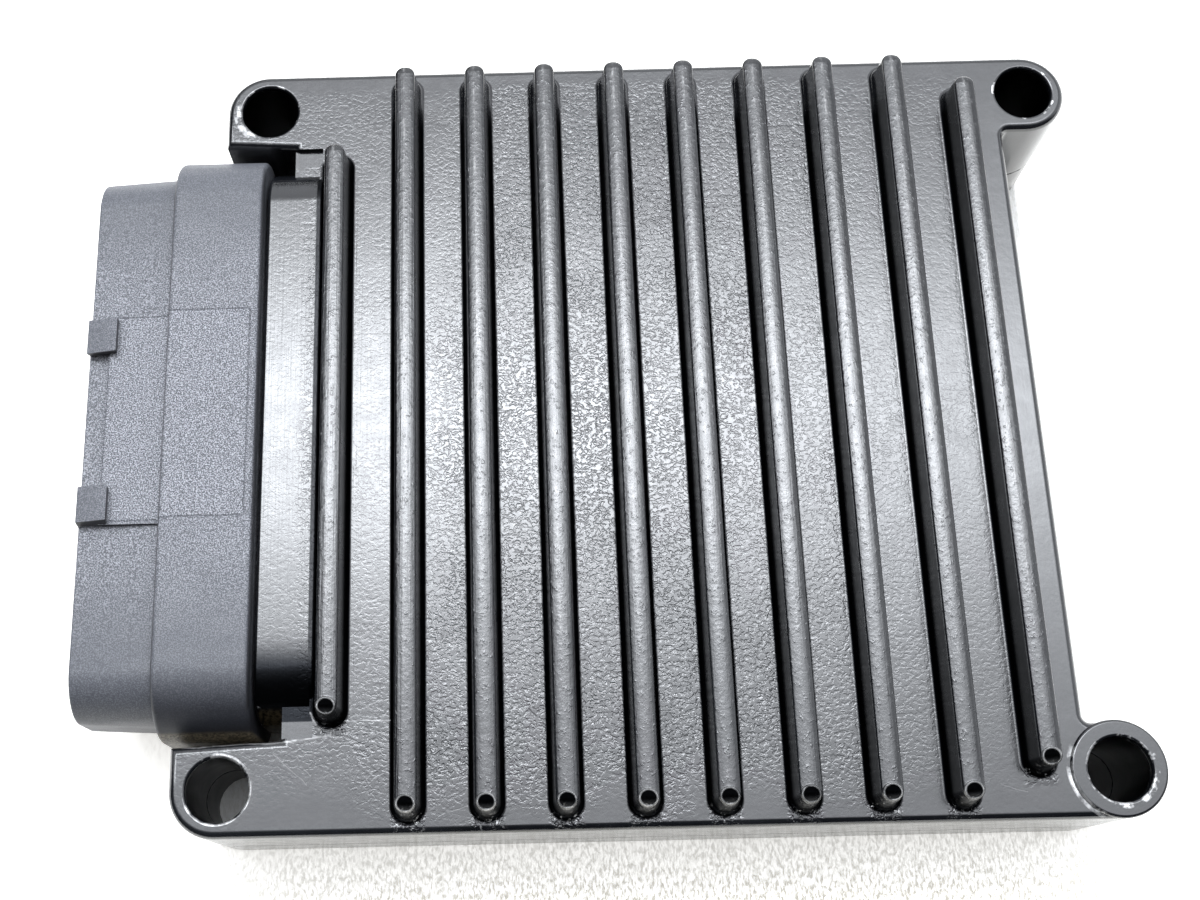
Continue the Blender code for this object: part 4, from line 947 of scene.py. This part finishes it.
def plastic_material(look):
    """Grey glass-filled moulding: speckled in the middle, smoother to the ends, with shade painted at the
    near end.
    """
    material, tree, shader, place = new_material("grey_plastic_finish")
    x, y, z = axes(tree, place)
    out_x = apart(tree, x, PANEL_CENTRE[0])
    out_y = apart(tree, y, PANEL_CENTRE[1])
    reach = largest(
        tree,
        less(tree, out_y, PANEL_HALF[1]),
        less(tree, out_x, PANEL_HALF[0]),
    )
    upper = ramp(tree, z, CROWN_Z - 0.0012, CROWN_Z - 0.0008)
    panel = product(tree, fade(tree, reach, -0.0001, 0.0001), upper)
    off_latch = largest(
        tree,
        fade(tree, z, CROWN_Z + 0.0006, CROWN_Z + 0.0007),
        ramp(tree, x, COLLAR_FRONT_X - 0.0002, COLLAR_FRONT_X),
    )
    line = product(tree, fade(tree, apart(tree, reach), 0.00005, 0.00020), upper, off_latch)

    # Relief: speckle in the middle and on the panel, slow flow marks, and the panel's outline
    middle = ramp(tree, out_y, 0.016, 0.034, 1.0, 0.25)
    speck = noise(tree, place, 5200.0, 3.0, 0.80)
    flow = noise(tree, stretched(tree, place, (0.5, 1.6, 1.0)), 260.0, 3.0, 0.6)
    grain = largest(tree, product(tree, middle, 0.75), panel)
    grain = product(tree, grain, largest(tree, off_latch, 0.4))
    height = less(tree, product(tree, speck, grain), product(tree, line, 0.6))
    bumped(tree, shader, total(tree, height, product(tree, flow, 0.15)), look.speck_height)

    # Colour: fibres that show, painted shade on the near end, painted shade on the latch ramps' flanks and a
    # painted lighter top on them, dirt at the notch
    fibres = total(tree, product(tree, ramp(tree, speck, 0.48, 0.57), grain), 0.05)
    dim = sums(tree, "SUBTRACT", fibres, product(tree, line, 0.35), True)
    # Painted light: the tops of the latch ramps are painted a little lighter
    dim = total(tree, dim, product(tree, outside(tree, off_latch), 0.03))
    collar = ramp(tree, x, COLLAR_FRONT_X - 0.0004, COLLAR_FRONT_X + 0.0004)
    # Painted shade: the near end of the header is darkened towards COLLAR_SHADE, most on the collar
    dark = largest(
        tree,
        product(tree, collar, ramp(tree, y, -0.0405, -0.0320, 0.88, 0.0)),
        ramp(tree, y, -0.0400, -0.0330, 0.42, 0.0),
    )
    tone = mixed(tree, dim, look.plastic, look.plastic_fleck)
    tone = mixed(tree, dark, tone, COLLAR_SHADE)
    _, facing_y, facing_z = axes(tree, tree.nodes.new("ShaderNodeNewGeometry").outputs["Normal"])
    # Painted shade on the latch ramps' sides, most on those that face the near end
    flank_shade = product(
        tree,
        ramp(tree, z, CROWN_Z - 0.0003, CROWN_Z),
        fade(tree, facing_z, 0.50, 0.85),
        ramp(tree, facing_y, -0.8, 0.3, 1.0, 0.55),
    )
    tone = mixed(tree, flank_shade, tone, LATCH_FLANK_SHADE)
    grit = noise(tree, place, 2600.0, 3.0, 0.7)
    ragged = total(tree, y, product(tree, grit, 0.0008))
    slot = product(tree, collar, fade(tree, ragged, -0.0410, -0.0406))
    soil = mixed(tree, ramp(tree, grit, 0.34, 0.68), look.grit_dark, look.grit)
    tree.links.new(mixed(tree, slot, tone, soil), shader.inputs["Base Color"])
    rough = ramp(tree, flow, 0.3, 0.7, look.plastic_roughness - 0.06, look.plastic_roughness + 0.06)
    tree.links.new(rough, shader.inputs["Roughness"])
    return material


def studio_dome(settings):
    """Soft light from above: a wide pale panel with a brighter middle, dark towards the horizon."""
    world = bpy.data.worlds.new("studio_dome")
    world.use_nodes = True
    tree = world.node_tree
    background = tree.nodes["Background"]
    x, y, z = axes(tree, tree.nodes.new("ShaderNodeTexCoord").outputs["Generated"])
    rise = largest(tree, z, 0.01)
    side = sums(tree, "DIVIDE", x, rise)
    ahead = sums(tree, "DIVIDE", y, rise)
    wide = product(tree, bell(tree, side, 0.04, 0.80, 4.0), bell(tree, ahead, 0.34, 0.38))
    wide = product(tree, wide, settings.panel_strength)
    hot = product(tree, bell(tree, side, -0.04, 0.40), bell(tree, ahead, 0.345, 0.085))
    hot = product(tree, hot, settings.box_strength)
    back = product(tree, bell(tree, side, 0.04, 1.2, 4.0), ramp(tree, ahead, 0.45, 1.3))
    right = product(tree, ramp(tree, side, 0.6, 1.6), ramp(tree, ahead, -0.6, 0.2))
    back = product(tree, largest(tree, back, right), settings.back_strength)
    glow = total(tree, total(tree, wide, hot), total(tree, back, settings.room_strength))
    seen = wire(tree, "ShaderNodeLightPath").outputs["Is Camera Ray"]
    glow = total(tree, product(tree, glow, outside(tree, seen)), product(tree, seen, 0.9))
    background.inputs["Color"].default_value = DOME_TINT
    tree.links.new(glow, background.inputs["Strength"])
    return world


def plain_finish(name, colour, second, roughness, metallic=0.0, scale=400.0, bump=0.00001, stretch=(1, 1, 1)):
    """A finish for the pieces inside: two tones, varying gloss and a fine grain."""
    material, tree, shader, place = new_material(name)
    grain = noise(tree, stretched(tree, place, stretch), scale, 3.0, 0.6)
    tree.links.new(mixed(tree, ramp(tree, grain, 0.35, 0.65), colour, second), shader.inputs["Base Color"])
    shader.inputs["Metallic"].default_value = metallic
    rough = ramp(tree, noise(tree, place, scale / 3, 2.0, 0.5), 0.3, 0.7, roughness - 0.06, roughness + 0.08)
    tree.links.new(rough, shader.inputs["Roughness"])
    bumped(tree, shader, grain, bump)
    return material


def colour(**settings):
    """A colour for the sidebar; settings are its name, description and default."""
    return bpy.props.FloatVectorProperty(subtype="COLOR", size=3, min=0.0, max=1.0, **settings)


class ControlUnitFinish(bpy.types.PropertyGroup):
    """Colours and surface values of the control unit."""

    paint: colour(
        name="Paint",
        description="Colour of the paint on both castings",
        default=(0.004, 0.0045, 0.006),
    )
    paint_haze: colour(
        name="Paint Haze",
        description="Colour of the paint where it is dull from handling",
        default=(0.009, 0.010, 0.012),
    )
    # Also the colour of the highlights painted on the fin rims, crests, glints and flash
    bare_metal_and_highlight: colour(
        name="Bare Metal",
        description="Colour of the casting where the paint is worn through",
        default=(0.62, 0.62, 0.62),
    )
    gloss: bpy.props.FloatProperty(
        name="Paint Roughness",
        description="Roughness of the paint",
        min=0.05,
        max=0.9,
        default=0.17,
    )
    paint_ior: bpy.props.FloatProperty(
        name="Paint IOR",
        description="How strongly the paint reflects",
        min=1.3,
        max=2.5,
        default=1.85,
    )
    wrinkle_height: bpy.props.FloatProperty(
        name="Wrinkle Height",
        description="Depth of the wrinkles in the cast deck",
        unit="LENGTH",
        min=0.0,
        max=0.0005,
        precision=6,
        default=0.00022,
    )
    plastic: colour(
        name="Plastic",
        description="Colour of the header's plastic",
        default=(0.056, 0.060, 0.071),
    )
    plastic_fleck: colour(
        name="Plastic Fleck",
        description="Colour of the fibres that show in the header's plastic",
        default=(0.40, 0.41, 0.45),
    )
    plastic_roughness: bpy.props.FloatProperty(
        name="Plastic Roughness",
        description="Roughness of the header's plastic",
        min=0.1,
        max=1.0,
        default=0.50,
    )
    grit: colour(
        name="Grit",
        description="Colour of the dirt caught between the header and the ear",
        default=(0.20, 0.17, 0.12),
    )
    grit_dark: colour(
        name="Dark Grit",
        description="Colour of the deeper parts of that dirt",
        default=(0.024, 0.020, 0.014),
    )
    speck_height: bpy.props.FloatProperty(
        name="Speck Height",
        description="Depth of the speckle in the header's plastic",
        unit="LENGTH",
        min=0.0,
        max=0.0005,
        precision=6,
        default=0.00008,
    )


class StudioSettings(bpy.types.PropertyGroup):
    """Floor, lights and camera of the studio."""

    floor_colour: colour(
        name="Floor Colour",
        description="Colour of the plain pale floor",
        default=(0.86, 0.86, 0.85),
    )
    # Glow of the floor, which is no lamp; it keeps the floor evenly bright
    floor_glow: bpy.props.FloatProperty(
        name="Floor Glow",
        description="Light that the lit table sheet gives off itself",
        min=0.0,
        max=10.0,
        default=0.72,
    )
    panel_strength: bpy.props.FloatProperty(
        name="Panel Strength",
        description="Brightness of the wide pale panel overhead",
        min=0.0,
        max=100.0,
        default=3.9,
    )
    box_strength: bpy.props.FloatProperty(
        name="Soft Box Strength",
        description="How much brighter the middle of the panel is",
        min=0.0,
        max=100.0,
        default=14.4,
    )
    back_strength: bpy.props.FloatProperty(
        name="Back Strength",
        description="Brightness of the far side down to the horizon",
        min=0.0,
        max=20.0,
        default=1.3,
    )
    room_strength: bpy.props.FloatProperty(
        name="Room Strength",
        description="Brightness of the dark room round the panel",
        min=0.0,
        max=10.0,
        default=0.02,
    )
    fill_power: bpy.props.FloatProperty(
        name="Fill Power",
        description="Power of the fill light on the floor",
        unit="POWER",
        min=0.0,
        max=500.0,
        default=13.0,
    )
    lens: bpy.props.FloatProperty(
        name="Lens",
        description="Focal length of the camera on a 36 mm sensor",
        unit="CAMERA",
        min=10.0,
        max=200.0,
        default=46.60,
    )


class CONTROLUNIT_OT_upper_housing(bpy.types.Operator):
    """Builds the finned upper housing with its painted and worn surface."""

    bl_idname = "control_unit.upper_housing"
    bl_label = "Upper Housing"

    def execute(self, context):
        material = paint_material(context.scene.control_unit_finish)
        placed("cast_upper_housing", upper_housing_mesh(), material, ["upper_housing"])
        return {"FINISHED"}


class CONTROLUNIT_OT_base_cover(bpy.types.Operator):
    """Builds the base cover below the seam in the same paint."""

    bl_idname = "control_unit.base_cover"
    bl_label = "Base Cover"

    def execute(self, context):
        material = bpy.data.materials["black_paint_finish"]
        placed("cast_base_cover", merged_copy("base_cover"), material, ["base_cover"])
        return {"FINISHED"}


class CONTROLUNIT_OT_header(bpy.types.Operator):
    """Builds the moulded plug header with its latch ramps."""

    bl_idname = "control_unit.header"
    bl_label = "Header"

    def execute(self, context):
        material = plastic_material(context.scene.control_unit_finish)
        placed("moulded_header", header_mesh(), material, ["header_body"])
        return {"FINISHED"}


class CONTROLUNIT_OT_inner_pieces(bpy.types.Operator):
    """Finishes the seals, pins, screws, circuit board and electronics."""

    bl_idname = "control_unit.inner_pieces"
    bl_label = "Inner Pieces"

    def execute(self, context):
        finishes = {slot: plain_finish(slot + "_finish", *look) for slot, look in INNER_FINISHES.items()}
        kept = {"circuit_board": "board_laminate", "thermal_pad": "thermal_pad"}
        kept.update({chip: "chip_resin" for chip in CHIPS})
        smooth = {
            "cover_seal": "seal_rubber",
            "header_seal": "seal_rubber",
            "reservoir_capacitor": "metal_can",
            "clock_crystal": "metal_can",
        }
        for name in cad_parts:
            if name.startswith("header_pin_"):
                kept[name] = "tinned_pin"
            if "_screw_" in name:
                smooth[name] = "zinc_steel"
        for node, slot in kept.items():
            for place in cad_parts[node].material_slots:
                place.material = finishes[slot]
        for node, slot in smooth.items():
            placed("smooth_" + node, merged_copy(node), finishes[slot], [node])
        return {"FINISHED"}


class CONTROLUNIT_OT_studio(bpy.types.Operator):
    """Builds the plain floor, the soft lights and the camera."""

    bl_idname = "control_unit.studio"
    bl_label = "Studio"

    def execute(self, context):
        settings = context.scene.control_unit_studio
        bm = bmesh.new()
        bmesh.ops.create_grid(bm, x_segments=1, y_segments=1, size=2.5)
        floor = own_object("floor", bm)
        material, tree, shader, place = new_material("pale_floor")
        x, y, _ = axes(tree, place)
        mottle = noise(tree, stretched(tree, place, (1.5, 0.60, 1.0)), 1800.0, 3.0, 0.65, 0.5)
        # Painted shadow: the mottle shows darker in front of the unit and fades out to the sides and back
        near = product(
            tree,
            bell(tree, x, 0.004, 0.083, 4.0),
            ramp(tree, y, -0.0685, -0.0500, 1.0, 0.35),
        )
        mottle_and_shadow = product(tree, ramp(tree, mottle, 0.36, 0.60, 1.0, 0.14), near)
        mottle_shadow_tone = tuple(value * tint for value, tint in zip(settings.floor_colour, FLOOR_MOTTLE_SHADOW_TINT))
        tree.links.new(mixed(tree, mottle_and_shadow, settings.floor_colour, mottle_shadow_tone), shader.inputs["Base Color"])
        shader.inputs["Roughness"].default_value = 0.6
        shader.inputs["Emission Color"].default_value = FLOOR_GLOW_TINT
        # No glow under the unit: its plan is a rectangle between the bores, with rounded corners
        past_x = largest(tree, less(tree, apart(tree, x, -0.0021), 0.0573), 0.0)
        past_y = largest(tree, less(tree, apart(tree, y), BORE_Y), 0.0)
        past = sums(tree, "SQRT", total(tree, product(tree, past_x, past_x), product(tree, past_y, past_y)))
        under = fade(tree, past, 0.0048, 0.0056)
        # The floor glows though it is no lamp, which keeps it evenly bright; the glow is dimmed in the
        # painted shadow and stops under the unit
        lit = product(tree, outside(tree, product(tree, mottle_and_shadow, 0.85)), outside(tree, under))
        glow = product(tree, lit, settings.floor_glow)
        tree.links.new(glow, shader.inputs["Emission Strength"])
        floor.data.materials.append(material)
        context.scene.world = studio_dome(settings)
        self.panel("fill_panel", (0.0, 0.35, 1.0), (1.6, 1.2), settings.fill_power)
        lens = bpy.data.cameras.new("camera")
        lens.sensor_width = SENSOR_WIDTH
        lens.lens = settings.lens
        lens.shift_x, lens.shift_y = CAMERA_SHIFT
        lens.clip_start = 0.01
        camera = bpy.data.objects.new("camera", lens)
        camera.location = CAMERA_PLACE
        camera.rotation_euler = CAMERA_TURN
        context.scene.collection.objects.link(camera)
        context.scene.camera = camera
        context.scene.view_settings.view_transform = "Standard"
        return {"FINISHED"}

    def panel(self, name, place, size, power):
        """A soft light panel that faces the unit and is not seen itself."""
        light = bpy.data.lights.new(name, "AREA")
        light.shape = "RECTANGLE"
        light.size, light.size_y = size
        light.energy = power
        light.color = FILL_TINT
        lamp = bpy.data.objects.new(name, light)
        lamp.location = place
        lamp.rotation_euler.x = -math.atan2(place[1], place[2])
        lamp.visible_camera = False
        lamp.visible_glossy = False
        bpy.context.scene.collection.objects.link(lamp)


class CONTROLUNIT_PT_sidebar(bpy.types.Panel):
    """Lists the pieces of the control unit."""

    bl_idname = "CONTROLUNIT_PT_sidebar"
    bl_label = "Control Unit"
    bl_space_type = "VIEW_3D"
    bl_region_type = "UI"
    bl_category = "Control Unit"

    def draw(self, context):
        for operator in OPERATORS:
            self.layout.operator(operator.bl_idname)
        for group in (context.scene.control_unit_finish, context.scene.control_unit_studio):
            for name in group.__annotations__:
                self.layout.prop(group, name)


GROUPS = (ControlUnitFinish, StudioSettings)
OPERATORS = (
    CONTROLUNIT_OT_upper_housing,
    CONTROLUNIT_OT_base_cover,
    CONTROLUNIT_OT_header,
    CONTROLUNIT_OT_inner_pieces,
    CONTROLUNIT_OT_studio,
)


def register():
    for item in GROUPS + OPERATORS + (CONTROLUNIT_PT_sidebar,):
        bpy.utils.register_class(item)
    bpy.types.Scene.control_unit_finish = bpy.props.PointerProperty(type=ControlUnitFinish)
    bpy.types.Scene.control_unit_studio = bpy.props.PointerProperty(type=StudioSettings)


def unregister():
    del bpy.types.Scene.control_unit_studio
    del bpy.types.Scene.control_unit_finish
    for item in reversed(GROUPS + OPERATORS + (CONTROLUNIT_PT_sidebar,)):
        bpy.utils.unregister_class(item)


def main():
    register()
    bpy.ops.control_unit.upper_housing()
    bpy.ops.control_unit.base_cover()
    bpy.ops.control_unit.header()
    bpy.ops.control_unit.inner_pieces()
    bpy.ops.control_unit.studio()
    bpy.context.view_layer.update()


if __name__ == "__main__":
    main()
